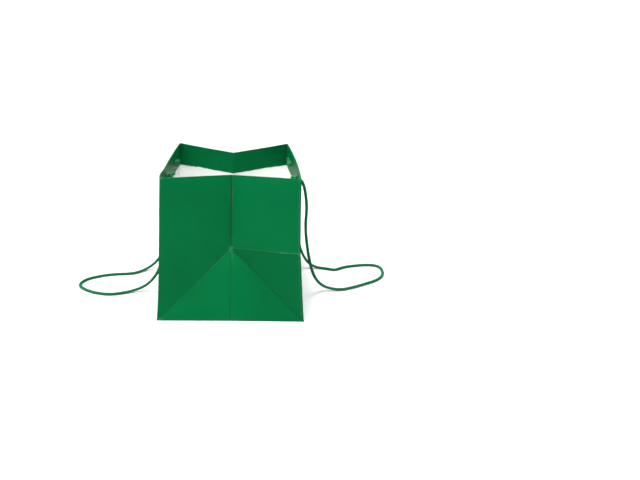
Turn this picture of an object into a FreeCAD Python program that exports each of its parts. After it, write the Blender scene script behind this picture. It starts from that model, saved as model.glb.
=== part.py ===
# Square-bottom coated-paper carrier bag with two knotted rope handles.
#
# Frame: millimetres, +Z up, origin on the floor under the centre of the base.
# The rope faces are the left (-X) and right (+X) walls, the gussets are the
# front (-Y) and back (+Y) walls.  The bag is one creased sheet: each panel
# between creases is its own rigid plate, so that the mouth can be squeezed.
import FreeCAD, Part
import math
import os
import Sketcher

V = FreeCAD.Vector
doc = FreeCAD.newDocument("CarrierBag")

# ---------------------------------------------------------------- sheet
sheet = doc.addObject("Spreadsheet::Sheet", "Dims")
CELLS = [
    ("width", 200.0, "gusset wall width at the base"),
    ("depth", 240.0, "rope face width"),
    ("rise", 200.0, "sheet height from base crease to rim"),
    ("paper", 0.5, "plate thickness of the sheet"),
    ("hemdepth", 35.0, "turned-in hem at the mouth"),
    ("hemboard", 1.0, "board glued inside the hem of a rope face"),
    ("creasegap", 0.6, "half gap along a hinged crease"),
    ("diaggap", 0.9, "half gap along a diagonal crease"),
    ("centregap", 1.1, "half gap along a centre crease"),
    ("hemset", 4.0, "hem set back from a vertical corner"),
    ("tilt", 18.66, "lean of the foot triangles, degrees"),
    ("holespan", 94.0, "distance between the two rope holes"),
    ("holedrop", 18.0, "rope hole below the rim"),
    ("holerad", 2.2, "rope hole radius"),
    ("roperad", 1.7, "rope radius"),
    ("knotrad", 4.0, "knot radius"),
    ("stublen", 14.5, "rope between knot centre and swing axis"),
    ("taillen", 8.5, "free tail of a knot"),
    ("boardx", 195.0, "base board, across"),
    ("boardy", 235.0, "base board, along"),
    ("boardthick", 1.2, "base board thickness"),
    ("flapedge", 0.8, "bottom flap set back from the base crease"),
    ("outerlap", 187.2, "reach of the outer bottom flap"),
    ("innerlap", 169.2, "reach of the inner bottom flap"),
    ("endlap", 60.0, "reach of an end bottom flap"),
    ("seamwidth", 15.0, "glued side-seam tab"),
]
row = 1
value = {}
for alias, number, note in CELLS:
    sheet.set("A%d" % row, note)
    sheet.set("B%d" % row, repr(number))
    sheet.setAlias("B%d" % row, alias)
    value[alias] = number
    row += 1
doc.recompute()


class Dim:
    """A number that also carries the expression it comes from."""

    def __init__(self, number, text):
        self.v = float(number)
        self.s = text

    @staticmethod
    def lift(other):
        return other if isinstance(other, Dim) else Dim(other, repr(float(other)))

    def __add__(self, other):
        other = Dim.lift(other)
        return Dim(self.v + other.v, "(%s + %s)" % (self.s, other.s))

    def __sub__(self, other):
        other = Dim.lift(other)
        return Dim(self.v - other.v, "(%s - %s)" % (self.s, other.s))

    def __mul__(self, other):
        other = Dim.lift(other)
        return Dim(self.v * other.v, "(%s * %s)" % (self.s, other.s))

    def __truediv__(self, other):
        other = Dim.lift(other)
        return Dim(self.v / other.v, "(%s / %s)" % (self.s, other.s))


def cell(alias):
    return Dim(sheet.get(alias), "Dims.%s" % alias)


ZERO = Dim(0.0, "0")
ROOT2 = math.sqrt(2.0)
width, depth, rise, paper = cell("width"), cell("depth"), cell("rise"), cell("paper")
hem, hemboard, gap = cell("hemdepth"), cell("hemboard"), cell("creasegap")
diag, centre, hemset = cell("diaggap"), cell("centregap"), cell("hemset")
half = width / 2.0
holes_span, hole_drop, hole_rad = cell("holespan"), cell("holedrop"), cell("holerad")

# ------------------------------------------------------- sheet geometry
# With the foot triangle leaning by tilt, a rope face leans by lean so that
# the 45 degree corner of each gusset panel keeps its shape.
HW, HD, H, T = half.v, depth.v / 2.0, rise.v, paper.v
Z0 = T / 2.0
tilt = math.radians(cell("tilt").v)
lo, hi = 0.0, math.radians(40.0)
for _ in range(60):
    mid = 0.5 * (lo + hi)
    if math.sin(mid) + math.cos(mid) * math.cos(tilt) < 1.0:
        lo = mid
    else:
        hi = mid
lean = 0.5 * (lo + hi)
RIM_X = HW - H * math.sin(lean)
RIM_Z = Z0 + H * math.cos(lean)
APEX = (HD - HW * math.sin(tilt), Z0 + HW * math.cos(tilt))
# rim end of the centre crease: HW from the rim corner and H - HW from the apex
r_rim = math.sqrt(HW * HW - RIM_X * RIM_X)
r_apex = H - HW
dy, dz = APEX[0] - HD, APEX[1] - RIM_Z
span = math.hypot(dy, dz)
along = (r_rim ** 2 - r_apex ** 2 + span ** 2) / (2 * span)
off = math.sqrt(max(r_rim ** 2 - along ** 2, 0.0))
c1 = (HD + along * dy / span - off * dz / span, RIM_Z + along * dz / span + off * dy / span)
c2 = (HD + along * dy / span + off * dz / span, RIM_Z + along * dz / span - off * dy / span)
CREST = c1 if c1[0] < c2[0] else c2
print("lean %.3f deg  rim x %.2f z %.2f  apex y %.2f z %.2f  crest y %.2f z %.2f"
      % (math.degrees(lean), RIM_X, RIM_Z, APEX[0], APEX[1], CREST[0], CREST[1]))


def corner(s, e):
    return V(s * HW, e * HD, Z0)


def rim(s, e):
    return V(s * RIM_X, e * HD, RIM_Z)


def apex(e):
    return V(0, e * APEX[0], APEX[1])


def crest(e):
    return V(0, e * CREST[0], CREST[1])


def frame(origin, along_x, towards, shift=0.0):
    """Placement with local x along one edge and local y towards a point.
    shift moves it towards the inside of the bag."""
    ex = V(along_x).normalize()
    ey = towards - origin
    ey = ey - ex * ey.dot(ex)
    ey.normalize()
    n = ex.cross(ey)
    inward = V(0, 0, H / 2) - origin
    sign = 1.0 if n.dot(inward) > 0 else -1.0
    m = FreeCAD.Matrix(ex.x, ey.x, n.x, 0, ex.y, ey.y, n.y, 0, ex.z, ey.z, n.z, 0, 0, 0, 0, 1)
    return origin, FreeCAD.Rotation(*[FreeCAD.Placement(m).Rotation.Q[i] for i in range(4)]), n, sign


def placed(origin, along_x, towards, thick, mid):
    """Placement of a plate whose middle lies mid inside the sheet's own middle."""
    o, rot, n, sign = frame(origin, along_x, towards)
    return FreeCAD.Placement(o + n * (sign * mid - thick / 2.0), rot)


def origin_plane(body, role):
    for feature in body.Origin.OriginFeatures:
        if feature.Role == role:
            return feature
    raise RuntimeError("no plane " + role)


nodes = []


def plate(name, points, thick, holes=()):
    """Flat panel: a fully dimensioned sketch padded by its thickness."""
    body = doc.addObject("PartDesign::Body", name)
    body.Label = name
    sk = body.newObject("Sketcher::SketchObject", name + "_outline")
    sk.AttachmentSupport = (origin_plane(body, "XY_Plane"), [""])
    sk.MapMode = "FlatFace"
    count = len(points)
    for i in range(count):
        a, b = points[i], points[(i + 1) % count]
        sk.addGeometry(Part.LineSegment(V(a[0].v, a[1].v, 0), V(b[0].v, b[1].v, 0)), False)
    for i in range(count):
        sk.addConstraint(Sketcher.Constraint("Coincident", i, 2, (i + 1) % count, 1))
    for i in range(count):
        x, y = points[i]
        for kind, q, axis in (("DistanceX", x, -2), ("DistanceY", y, -1)):
            if q.s == "0":
                sk.addConstraint(Sketcher.Constraint("PointOnObject", i, 1, axis))
            else:
                c = sk.addConstraint(Sketcher.Constraint(kind, -1, 1, i, 1, q.v))
                sk.renameConstraint(c, "v%d%s" % (i, kind[-1].lower()))
                sk.setExpression("Constraints.v%d%s" % (i, kind[-1].lower()), "(%s) * 1 mm" % q.s)
    for j, (x, y, r) in enumerate(holes):
        g = sk.addGeometry(Part.Circle(V(x.v, y.v, 0), V(0, 0, 1), r.v), False)
        for kind, q in (("DistanceX", x), ("DistanceY", y)):
            c = sk.addConstraint(Sketcher.Constraint(kind, -1, 1, g, 3, q.v))
            sk.renameConstraint(c, "h%d%s" % (j, kind[-1].lower()))
            sk.setExpression("Constraints.h%d%s" % (j, kind[-1].lower()), "(%s) * 1 mm" % q.s)
        c = sk.addConstraint(Sketcher.Constraint("Radius", g, r.v))
        sk.renameConstraint(c, "h%dr" % j)
        sk.setExpression("Constraints.h%dr" % j, "(%s) * 1 mm" % r.s)
    pad = body.newObject("PartDesign::Pad", name + "_pad")
    pad.Profile = sk
    pad.setExpression("Length", "(%s) * 1 mm" % thick.s)
    body.Tip = pad
    nodes.append(body)
    return body


def rectangle(w, h, x0=ZERO, y0=ZERO):
    return [(x0, y0), (w, y0), (w, h), (x0, h)]


# ------------------------------------------------------------ base
def lay(body, x, y, z):
    body.Placement = FreeCAD.Placement(V(x, y, z), FreeCAD.Rotation())
    return body


edge = cell("flapedge")
lay(plate("bottom_outer_flap", rectangle(cell("outerlap"), depth - edge * 2.0), paper),
    HW - edge.v - cell("outerlap").v, -HD + edge.v, 0.0)
lay(plate("bottom_inner_flap", rectangle(cell("innerlap"), depth - edge * 2.0), paper),
    -HW + edge.v, -HD + edge.v, T)
endlap = cell("endlap")
long_edge = width - edge * 5.0
for name, e in (("front", -1), ("back", 1)):
    flap = plate("bottom_end_flap_" + name,
                 [(ZERO, ZERO), (long_edge, ZERO), (long_edge - endlap, endlap), (endlap, endlap)], paper)
    turn = FreeCAD.Rotation(V(0, 0, 1), 0 if e < 0 else 180)
    flap.Placement = FreeCAD.Placement(V(e * long_edge.v / 2.0, e * (HD - 1.4), 2 * T), turn)
lay(plate("base_board", rectangle(cell("boardx"), cell("boardy")), cell("boardthick")),
    -cell("boardx").v / 2.0, -cell("boardy").v / 2.0, 3 * T)

# ------------------------------------------------------ rope faces
hole_a = depth / 2.0 - holes_span / 2.0
hole_b = depth / 2.0 + holes_span / 2.0
hole_y = rise - hole_drop
both = ((hole_a, hole_y, hole_rad), (hole_b, hole_y, hole_rad))
wide = depth - gap
for side, s in (("left", -1), ("right", 1)):
    start = corner(s, -1)
    place = lambda thick, mid: placed(start, V(0, 1, 0), rim(s, -1), thick, mid)
    if s < 0:
        face = plate("left_face", rectangle(wide, rise, gap, gap), paper, both)
        face.Placement = place(T, 0.0)
    else:
        # this face carries the cross crease that the base folds up along
        low = plate("right_face_lower", rectangle(wide, half, gap, gap), paper)
        low.Placement = place(T, 0.0)
        up = plate("right_face_upper", rectangle(wide, rise, gap, half), paper, both)
        up.Placement = place(T, 0.0)
    board = plate(side + "_hem_board",
                  rectangle(depth - hemset, rise - 1.0, hemset, rise - hem + 1.0), hemboard, both)
    board.Placement = place(hemboard.v, T / 2 + hemboard.v / 2)
    turned = plate(side + "_hem", rectangle(depth - hemset, rise, hemset, rise - hem), paper, both)
    turned.Placement = place(T, T + hemboard.v)
    if s < 0:
        tab = plate("side_seam_tab",
                    rectangle(depth - hemset, rise - hem - 1.0,
                              depth - hemset - cell("seamwidth"), hemset * 2.0), paper)
        tab.Placement = place(T, T)

# --------------------------------------------------------- gussets
for end, e in (("front", -1), ("back", 1)):
    for side, s in (("left", -1), ("right", 1)):
        tag = "%s_%s_" % (end, side)
        # long panel beside the rope face, from base corner to rim corner
        a = gap * (1.0 + ROOT2)
        low = plate(tag + "gusset_lower",
                    [(gap + diag * ROOT2, gap), (rise - a, gap),
                     ((rise - gap * ROOT2 + diag * ROOT2) / 2.0,
                      (rise - gap * ROOT2 - diag * ROOT2) / 2.0)], paper)
        low.Placement = placed(corner(s, e), rim(s, e) - corner(s, e), apex(e), T, 0.0)
        # upper panel between the rim and the centre crease
        inner = half - centre
        up = plate(tag + "gusset_upper",
                   [(gap * ROOT2, ZERO), (inner, ZERO), (inner, inner - gap * ROOT2)], paper)
        up.Placement = placed(rim(s, e), crest(e) - rim(s, e), apex(e), T, 0.0)
        strip = plate(tag + "gusset_hem",
                      [(hemset, ZERO), (inner, ZERO), (inner, hem), (hemset + hem, hem)], paper)
        strip.Placement = placed(rim(s, e), crest(e) - rim(s, e), apex(e), T, T)
        # half of the foot triangle, on the base crease
        foot = plate(tag + "foot",
                     [(ZERO, gap), (half - diag * ROOT2 - gap, gap), (ZERO, half - diag * ROOT2)], paper)
        foot.Placement = placed(V(0, e * HD, Z0), V(s, 0, 0), apex(e), T, 0.0)

# ----------------------------------------------------- rope and knots
RR = cell("roperad").v
HOLE_X = HW - hole_y.v * math.sin(lean)
HOLE_Z = Z0 + hole_y.v * math.cos(lean)
PIVOT_X, PIVOT_Z = HOLE_X + 8.4, HOLE_Z - 1.0
KNOT_X = HOLE_X - (T * 1.5 + hemboard.v + cell("knotrad").v + 0.2)
print("rope hole x %.3f z %.3f  swing axis x %.3f z %.3f  knot x %.3f"
      % (HOLE_X, HOLE_Z, PIVOT_X, PIVOT_Z, KNOT_X))
TAILS = {
    (-1, -1): V(-0.10, 0.95, 0.30), (-1, 1): V(0.60, -0.35, 0.45),
    (1, -1): V(-0.75, -0.55, -0.10), (1, 1): V(-0.45, 0.45, 0.75),
}
for (s, e), tail_dir in TAILS.items():
    name = "%s_%s_knot" % ("left" if s < 0 else "right", "front" if e < 0 else "back")
    at = V(s * KNOT_X, e * holes_span.v / 2.0, HOLE_Z)
    ball = doc.addObject("Part::Sphere", name + "_ball")
    ball.setExpression("Radius", "Dims.knotrad * 1 mm")
    ball.Placement = FreeCAD.Placement(at, FreeCAD.Rotation())
    stub = doc.addObject("Part::Cylinder", name + "_stub")
    stub.setExpression("Radius", "Dims.roperad * 1 mm")
    stub.setExpression("Height", "(Dims.stublen - 0.4) * 1 mm")
    stub.Placement = FreeCAD.Placement(at, FreeCAD.Rotation(V(0, 0, 1), V(s, 0, 0)))
    tail = doc.addObject("Part::Cylinder", name + "_tail")
    tail.setExpression("Radius", "(Dims.roperad - 0.15) * 1 mm")
    tail.setExpression("Height", "Dims.taillen * 1 mm")
    tail.Placement = FreeCAD.Placement(at, FreeCAD.Rotation(V(0, 0, 1), tail_dir))
    knot = doc.addObject("Part::MultiFuse", name)
    knot.Label = name
    knot.Shapes = [ball, stub, tail]
    nodes.append(knot)

FLOOR = 2.0     # rope centre line where it lies on the floor
# Route of each handle from the front swing point round the loop to the back one.
RIGHT = [
    (99.8, -47.0, 177.9), (104.0, -47.5, 162.0), (107.0, -47.0, 141.0), (106.4, -47.6, 116.0),
    (109.2, -46.8, 91.0), (113.6, -45.0, 64.0), (118.6, -40.0, 40.0), (127.5, -30.0, 19.5),
    (143.0, -20.5, 5.0), (166.0, -22.5, FLOOR), (187.0, -13.0, FLOOR), (209.0, 1.0, FLOOR),
    (231.0, 15.5, FLOOR), (246.5, 33.5, FLOOR), (252.0, 56.5, FLOOR), (247.5, 77.0, FLOOR),
    (231.0, 81.5, FLOOR), (209.0, 77.0, FLOOR), (187.0, 69.5, FLOOR), (171.5, 56.5, FLOOR),
    (155.0, 63.5, FLOOR), (140.0, 67.5, 3.2), (127.0, 67.5, 10.5), (117.5, 65.0, 24.5),
    (110.8, 60.5, 43.0), (107.5, 55.5, 67.0), (107.2, 51.5, 94.0), (107.8, 49.0, 121.0),
    (106.4, 47.6, 146.0), (103.4, 47.2, 164.0), (99.8, 47.0, 177.9),
]
LEFT = [
    (-99.8, -47.0, 177.9), (-103.8, -47.4, 163.0), (-106.6, -47.8, 142.0), (-107.4, -46.8, 116.0),
    (-107.0, -44.8, 89.0), (-108.2, -41.0, 62.0), (-112.6, -35.0, 38.0), (-121.5, -30.0, 18.0),
    (-136.0, -29.0, 5.5), (-156.0, -37.5, FLOOR), (-180.0, -47.5, FLOOR), (-205.0, -43.5, FLOOR),
    (-226.5, -31.0, FLOOR), (-241.5, -13.5, FLOOR), (-232.5, 8.0, FLOOR), (-211.0, 23.5, FLOOR),
    (-186.0, 30.5, FLOOR), (-161.0, 32.5, FLOOR), (-145.0, 49.0, 3.0), (-132.0, 58.5, 9.5),
    (-121.0, 60.5, 22.5), (-112.5, 59.0, 42.0), (-108.4, 55.0, 67.0), (-107.0, 51.0, 94.0),
    (-107.6, 48.6, 121.0), (-106.2, 47.4, 146.0), (-103.2, 47.2, 164.0), (-99.8, 47.0, 177.9),
]


def rope(name, route):
    pts = [V(*p) for p in route]
    runs = [(pts[i + 1] - pts[i]).Length for i in range(len(pts) - 1)]
    edges = []
    here = pts[0]
    radii = []
    for i in range(1, len(pts) - 1):
        a = (pts[i - 1] - pts[i]).normalize()
        b = (pts[i + 1] - pts[i]).normalize()
        turn = math.pi - a.getAngle(b)
        cut = 0.45 * min(runs[i - 1], runs[i])
        radius = cut / math.tan(turn / 2.0)
        radii.append(radius)
        p, q = pts[i] + a * cut, pts[i] + b * cut
        bis = (a + b).normalize()
        m = pts[i] + bis * (math.hypot(radius, cut) - radius)
        edges.append(Part.LineSegment(here, p).toShape())
        edges.append(Part.Arc(p, m, q).toShape())
        here = q
    edges.append(Part.LineSegment(here, pts[-1]).toShape())
    path = Part.Wire(edges)
    ring = Part.Wire([Part.Circle(pts[0], (pts[1] - pts[0]).normalize(), RR).toShape()])
    tube = path.makePipeShell([ring], True, False)
    solid = tube if tube.ShapeType == "Solid" else Part.Solid(tube)
    if solid.Volume < 0:
        solid.reverse()
    length = path.Length
    print("%s: length %.1f mm, runs %.1f-%.1f, radii min %.1f: %s"
          % (name, length, min(runs), max(runs), min(radii), " ".join("%.0f" % r for r in radii)))
    for i in range(len(runs) - 1):
        ratio = max(runs[i] / runs[i + 1], runs[i + 1] / runs[i])
        if ratio > 2.0 or max(runs[i], runs[i + 1]) > 60.0:
            print("   run check", i, runs[i], runs[i + 1])
    print("   volume %.1f, section x length %.1f, valid %s, lowest %.2f"
          % (solid.Volume, math.pi * RR * RR * length, solid.isValid(), solid.BoundBox.ZMin))
    obj = doc.addObject("Part::Feature", name)
    obj.Label = name
    obj.Shape = solid
    obj.Placement = FreeCAD.Placement()
    nodes.append(obj)
    return obj


rope("left_handle_rope", LEFT)
rope("right_handle_rope", RIGHT)

# ------------------------------------------------------------- write
doc.recompute()
bad = []
for obj in doc.Objects:
    if "Invalid" in obj.State or "Error" in obj.State:
        bad.append("%s state %s" % (obj.Name, obj.State))
for obj in nodes:
    shape = obj.Shape
    if shape.isNull() or not shape.isValid() or shape.Volume <= 0 or len(shape.Solids) < 1:
        bad.append("%s shape" % obj.Label)
if bad:
    raise RuntimeError("; ".join(bad))
os.makedirs("parts", exist_ok=True)
for obj in nodes:
    obj.Shape.exportStep("parts/%s.step" % obj.Label)
print("wrote %d nodes" % len(nodes))
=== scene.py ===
import math

import bpy
import numpy as np
from mathutils import Matrix, Vector


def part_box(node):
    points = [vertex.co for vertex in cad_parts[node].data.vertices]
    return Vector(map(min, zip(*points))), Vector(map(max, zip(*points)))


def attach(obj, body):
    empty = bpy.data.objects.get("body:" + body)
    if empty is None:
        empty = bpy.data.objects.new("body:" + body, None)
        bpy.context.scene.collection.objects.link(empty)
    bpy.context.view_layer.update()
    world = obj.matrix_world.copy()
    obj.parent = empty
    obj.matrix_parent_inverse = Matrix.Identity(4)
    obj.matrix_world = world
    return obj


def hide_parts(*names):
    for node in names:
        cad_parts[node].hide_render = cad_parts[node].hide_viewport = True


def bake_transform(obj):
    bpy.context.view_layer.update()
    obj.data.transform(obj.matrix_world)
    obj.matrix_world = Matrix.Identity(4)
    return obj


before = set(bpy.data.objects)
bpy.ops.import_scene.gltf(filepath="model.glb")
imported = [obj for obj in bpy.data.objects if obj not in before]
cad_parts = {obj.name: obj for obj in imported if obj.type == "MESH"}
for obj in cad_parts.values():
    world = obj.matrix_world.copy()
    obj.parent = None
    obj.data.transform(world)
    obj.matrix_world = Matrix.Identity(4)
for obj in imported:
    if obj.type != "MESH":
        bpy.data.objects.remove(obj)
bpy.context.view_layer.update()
scene = bpy.context.scene
scene.view_settings.view_transform = "Standard"
scene.view_settings.look = "None"
MM = 0.001


# ---------------------------------------------------------------- camera
def make_camera():
    data = bpy.data.cameras.new("camera")
    data.sensor_width = 36.0
    data.lens = 31.602
    data.shift_x = 0.1375
    data.clip_start, data.clip_end = 0.02, 60.0
    cam = bpy.data.objects.new("camera", data)
    scene.collection.objects.link(cam)
    pitch, yaw, roll = (math.radians(a) for a in (20.0618, -1.1148, 0.16963))
    fwd = np.array([math.sin(yaw) * math.cos(pitch), math.cos(yaw) * math.cos(pitch), -math.sin(pitch)])
    right = np.array([math.cos(yaw), -math.sin(yaw), 0.0])
    up = np.cross(right, fwd)
    r2 = right * math.cos(roll) + up * math.sin(roll)
    u2 = -right * math.sin(roll) + up * math.cos(roll)
    m = Matrix.Identity(4)
    for k in range(3):
        m[k][0], m[k][1], m[k][2] = r2[k], u2[k], -fwd[k]
    m[0][3], m[1][3], m[2][3] = 0.0154896, -0.809731, 0.369874
    cam.matrix_world = m
    scene.camera = cam


make_camera()


# ---------------------------------------------------------------- mesh and line helpers
def new_object(name, verts, faces, mats, face_mats=None, smooth=True, attrs=None):
    """A mesh object from metres. attrs holds point attributes, floats or vectors."""
    mesh = bpy.data.meshes.new(name)
    mesh.from_pydata([tuple(float(c) for c in v) for v in verts], [], [tuple(f) for f in faces])
    for m in mats:
        mesh.materials.append(m)
    if face_mats is not None:
        mesh.polygons.foreach_set("material_index", np.array(face_mats, np.int32))
    mesh.polygons.foreach_set("use_smooth", [bool(smooth)] * len(mesh.polygons))
    for key, values in (attrs or {}).items():
        values = np.asarray(values, np.float32)
        if values.ndim == 2:
            mesh.attributes.new(key, "FLOAT_VECTOR", "POINT").data.foreach_set("vector", values.ravel())
        else:
            mesh.attributes.new(key, "FLOAT", "POINT").data.foreach_set("value", values)
    mesh.update()
    obj = bpy.data.objects.new(name, mesh)
    scene.collection.objects.link(obj)
    return obj


def spline_line(points, order=3, resolution=24):
    """The points of a smooth NURBS line with these control points, as Blender evaluates it."""
    data = bpy.data.curves.new("line", "CURVE")
    data.dimensions = "3D"
    data.resolution_u = resolution
    sp = data.splines.new("NURBS")
    sp.points.add(len(points) - 1)
    for p, q in zip(sp.points, points):
        p.co = (q[0], q[1], q[2], 1.0)
    sp.order_u = order
    sp.use_endpoint_u = True
    obj = bpy.data.objects.new("line", data)
    mesh = bpy.data.meshes.new_from_object(obj)
    line = np.array([v.co for v in mesh.vertices], float).reshape(-1, 3)
    bpy.data.meshes.remove(mesh)
    bpy.data.objects.remove(obj)
    bpy.data.curves.remove(data)
    return line


def spaced(line, step):
    along = np.concatenate([[0], np.cumsum(np.linalg.norm(np.diff(line, axis=0), axis=1))])
    at = np.linspace(0, along[-1], max(3, int(math.ceil(along[-1] / step)) + 1))
    return np.stack([np.interp(at, along, line[:, k]) for k in range(3)], axis=1), at


def frames(line):
    """Tangents and two normals along a line, carried without twist."""
    t = np.gradient(line, axis=0)
    t /= np.linalg.norm(t, axis=1)[:, None]
    n = np.zeros_like(t)
    seed = np.array([0.0, 0.0, 1.0]) if abs(t[0][2]) < 0.9 else np.array([1.0, 0.0, 0.0])
    n[0] = np.cross(t[0], seed)
    n[0] /= np.linalg.norm(n[0])
    for i in range(1, len(t)):
        v = n[i - 1] - t[i] * (n[i - 1] @ t[i])
        n[i] = v / np.linalg.norm(v)
    return t, n, np.cross(t, n)


def smoothstep(x, a=0.0, b=1.0):
    s = np.clip((np.asarray(x, float) - a) / (b - a), 0, 1)
    return s * s * (3 - 2 * s)


def twisted(name, line, radius, pitch, step, mats, sides=9, phase=0.0, flare=None, squeeze=None, strands=3, seed=0):
    """A laid rope: three strands that wind round the line. radius may be one value per point.
    flare(s, L) widens the strands' circle towards a loose end, squeeze(s, L) thins it."""
    line, at = spaced(line, step)
    t, n, b = frames(line)
    length = at[-1]
    radius = np.full(len(at), radius) if np.isscalar(radius) else radius(at / length)
    if squeeze is not None:
        radius = radius * squeeze(at, length)
    rs = radius / (1 + 2 / math.sqrt(3))
    arm = radius - rs
    if flare is not None:
        arm = arm * flare(at, length)
    rng = np.random.RandomState(seed)
    verts, faces, flat = [], [], []
    for k in range(strands):
        wob = rng.uniform(-1, 1, 3)
        turn = 2 * math.pi * (at / pitch + k / strands) + phase
        own = 1 + 0.03 * np.sin(at * 2 * math.pi / (pitch * 3.7) + wob[0] * 3) + 0.02 * np.sin(at * 2 * math.pi / (pitch * 1.3) + wob[1] * 3)
        outx, outy = np.cos(turn), np.sin(turn)
        centre = line + (n * outx[:, None] + b * outy[:, None]) * arm[:, None]
        out_dir = n * outx[:, None] + b * outy[:, None]
        side_dir = -n * outy[:, None] + b * outx[:, None]
        stretch = np.sqrt(1 + (2 * math.pi * arm / pitch) ** 2)
        base = len(verts)
        for i in range(len(at)):
            r = rs[i] * own[i]
            for j in range(sides):
                a = 2 * math.pi * j / sides
                p = centre[i] + out_dir[i] * (r * math.cos(a)) + side_dir[i] * (r * math.sin(a) * stretch[i])
                verts.append(p)
                flat.append((at[i] * 1000, j / sides, k + 10 * seed))
        for i in range(len(at) - 1):
            for j in range(sides):
                a0, a1 = base + i * sides + j, base + i * sides + (j + 1) % sides
                faces.append((a0, a1, a1 + sides, a0 + sides))
        for i, sign in ((0, -1), (len(at) - 1, 1)):
            ring = [base + i * sides + j for j in range(sides)]
            tip = len(verts)
            verts.append(centre[i] + t[i] * sign * rs[i] * 0.5)
            flat.append((at[i] * 1000, 0.5, k + 10 * seed))
            for j in range(sides):
                a0, a1 = ring[j], ring[(j + 1) % sides]
                faces.append((a0, tip, a1) if sign < 0 else (a0, a1, tip))
    obj = new_object(name, verts, faces, mats, attrs={"lay": flat})
    return obj, line


# ---------------------------------------------------------------- shape of the folded bag, in millimetres
lf_lo, lf_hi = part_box("left_face")
ft_lo, ft_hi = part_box("front_left_foot")
T = 0.5
HW = -lf_lo.x / MM - 0.22
HD = round((lf_hi.y / MM + 0.6), 3)
Z0 = 0.25
H = 200.0
LEAN = math.radians(3.092)
TILT = math.radians(18.66)
ROPE_Y, ROPE_V = 47.0, 182.0


def corner(sx, sy):
    return np.array([sx * HW, sy * HD, Z0])


def rim_corner(sx, sy):
    return np.array([sx * (HW - H * math.sin(LEAN)), sy * HD, Z0 + H * math.cos(LEAN)])


def apex(sy):
    return np.array([0.0, sy * (HD - 100 * math.sin(TILT)), Z0 + 100 * math.cos(TILT)])


def crest(sy):
    """The rim end of the centre crease: 100 from the apex and 100 from both rim corners."""
    a, r = apex(sy), rim_corner(1, sy)
    ay, az, ry, rz = a[1], a[2], r[1], r[2]
    k = 100.0 ** 2 - r[0] ** 2
    best, hit = None, 1e9
    # |K-A| = 100 and |K-R| = 100 with K on x = 0: two circles in the y, z plane
    d = math.hypot(ry - ay, rz - az)
    m = (100.0 ** 2 - k + d * d) / (2 * d)
    h = math.sqrt(max(100.0 ** 2 - m * m, 0))
    ey, ez = (ry - ay) / d, (rz - az) / d
    for s in (1, -1):
        y, z = ay + m * ey - s * h * ez, az + m * ez + s * h * ey
        if abs(y) < hit:
            hit, best = abs(y), np.array([0.0, y, z])
    return best


def unit(v):
    v = np.asarray(v, float)
    return v / np.linalg.norm(v)


def crease_push(n1, n2, w, valley):
    """How far the crease line itself moves so that two panels meet in a curve w wide on each side."""
    fold = math.acos(max(-1, min(1, float(n1 @ n2))))
    bis = unit(n1 + n2)
    return bis * (0.5 * w * math.tan(fold / 2)) * (1 if valley else -1)


def face_normal(sx):
    return np.array([sx * math.cos(LEAN), 0.0, math.sin(LEAN)])


def plane_normal(p, q, r, like):
    n = unit(np.cross(q - p, r - p))
    return n if n @ like > 0 else -n


def fall(d, w):
    return np.clip(1 - np.asarray(d, float) / w, 0, 1) ** 2


W_SIDE, W_DIAG, W_CENTRE, W_FLOOR = 1.15, 1.6, 2.0, 0.6
N_LOW, N_UP, N_FOOT, P_SIDE, P_DIAG, P_CENTRE, P_FLOOR = {}, {}, {}, {}, {}, {}, {}
for sy in (-1, 1):
    N_FOOT[sy] = plane_normal(corner(-1, sy), corner(1, sy), apex(sy), np.array([0, sy, 0.3]))
    for sx in (-1, 1):
        N_LOW[sx, sy] = plane_normal(corner(sx, sy), rim_corner(sx, sy), apex(sy), np.array([0, sy, 0.0]))
        N_UP[sx, sy] = plane_normal(rim_corner(sx, sy), crest(sy), apex(sy), np.array([0, sy, 0.0]))
        P_SIDE[sx, sy] = crease_push(face_normal(sx), N_LOW[sx, sy], W_SIDE, False)
        P_DIAG[sx, sy] = crease_push(N_LOW[sx, sy], N_FOOT[sy], W_DIAG, True)
    P_CENTRE[sy] = crease_push(N_UP[-1, sy], N_UP[1, sy], W_CENTRE, True)
    P_FLOOR["foot", sy] = crease_push(N_FOOT[sy], np.array([0, 0, -1.0]), W_FLOOR, False)
for sx in (-1, 1):
    P_FLOOR["face", sx] = crease_push(face_normal(sx), np.array([0, 0, -1.0]), W_FLOOR, False)


def push_corner(sx, sy):
    return np.array([sx * 0.30, sy * 0.25, 0.02])


def push_apex(sy):
    return np.array([0, sy * 0.30, 0.05])


NOTCH = 3.3
NOTCH_Y = 2.6


def hat(u, v):
    """The bump of the cross crease: 1 where it meets the corner, 0 at the floor, the rim corner and the apex."""
    x = (100 - u) / 100 - (np.sqrt((v - 100.0) ** 2 + 0.5 ** 2) - 0.5) / 100
    return 0.5 * (x + np.sqrt(x * x + 0.0009))


def settle(p):
    """The set that the paper has taken: the bottom spreads at the floor and the back rim corners stand up."""
    x, y, z = p[:, 0], p[:, 1], p[:, 2]
    low = np.clip(1 - z / 70.0, 0, 1) ** 2
    left_front = np.clip(-x / HW, 0, 1) * np.clip(-y / HD, 0, 1)
    right_front = np.clip(x / HW, 0, 1) * np.clip(-y / HD, 0, 1)
    high = np.clip(z / 200.0, 0, 1.05) ** 4
    q = p.copy()
    q[:, 0] += x / HW * low * 1.0
    q[:, 1] += y / HD * low * (1.9 + 1.6 * left_front)
    q[:, 0] += right_front * 0.9 * np.clip(z / 60.0, 0, 1) * np.clip((150 - z) / 60.0, 0, 1)
    q[:, 2] += high * np.clip(y / HD, 0, 1) * (x / 89.2) ** 2 * 1.1
    return q


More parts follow.
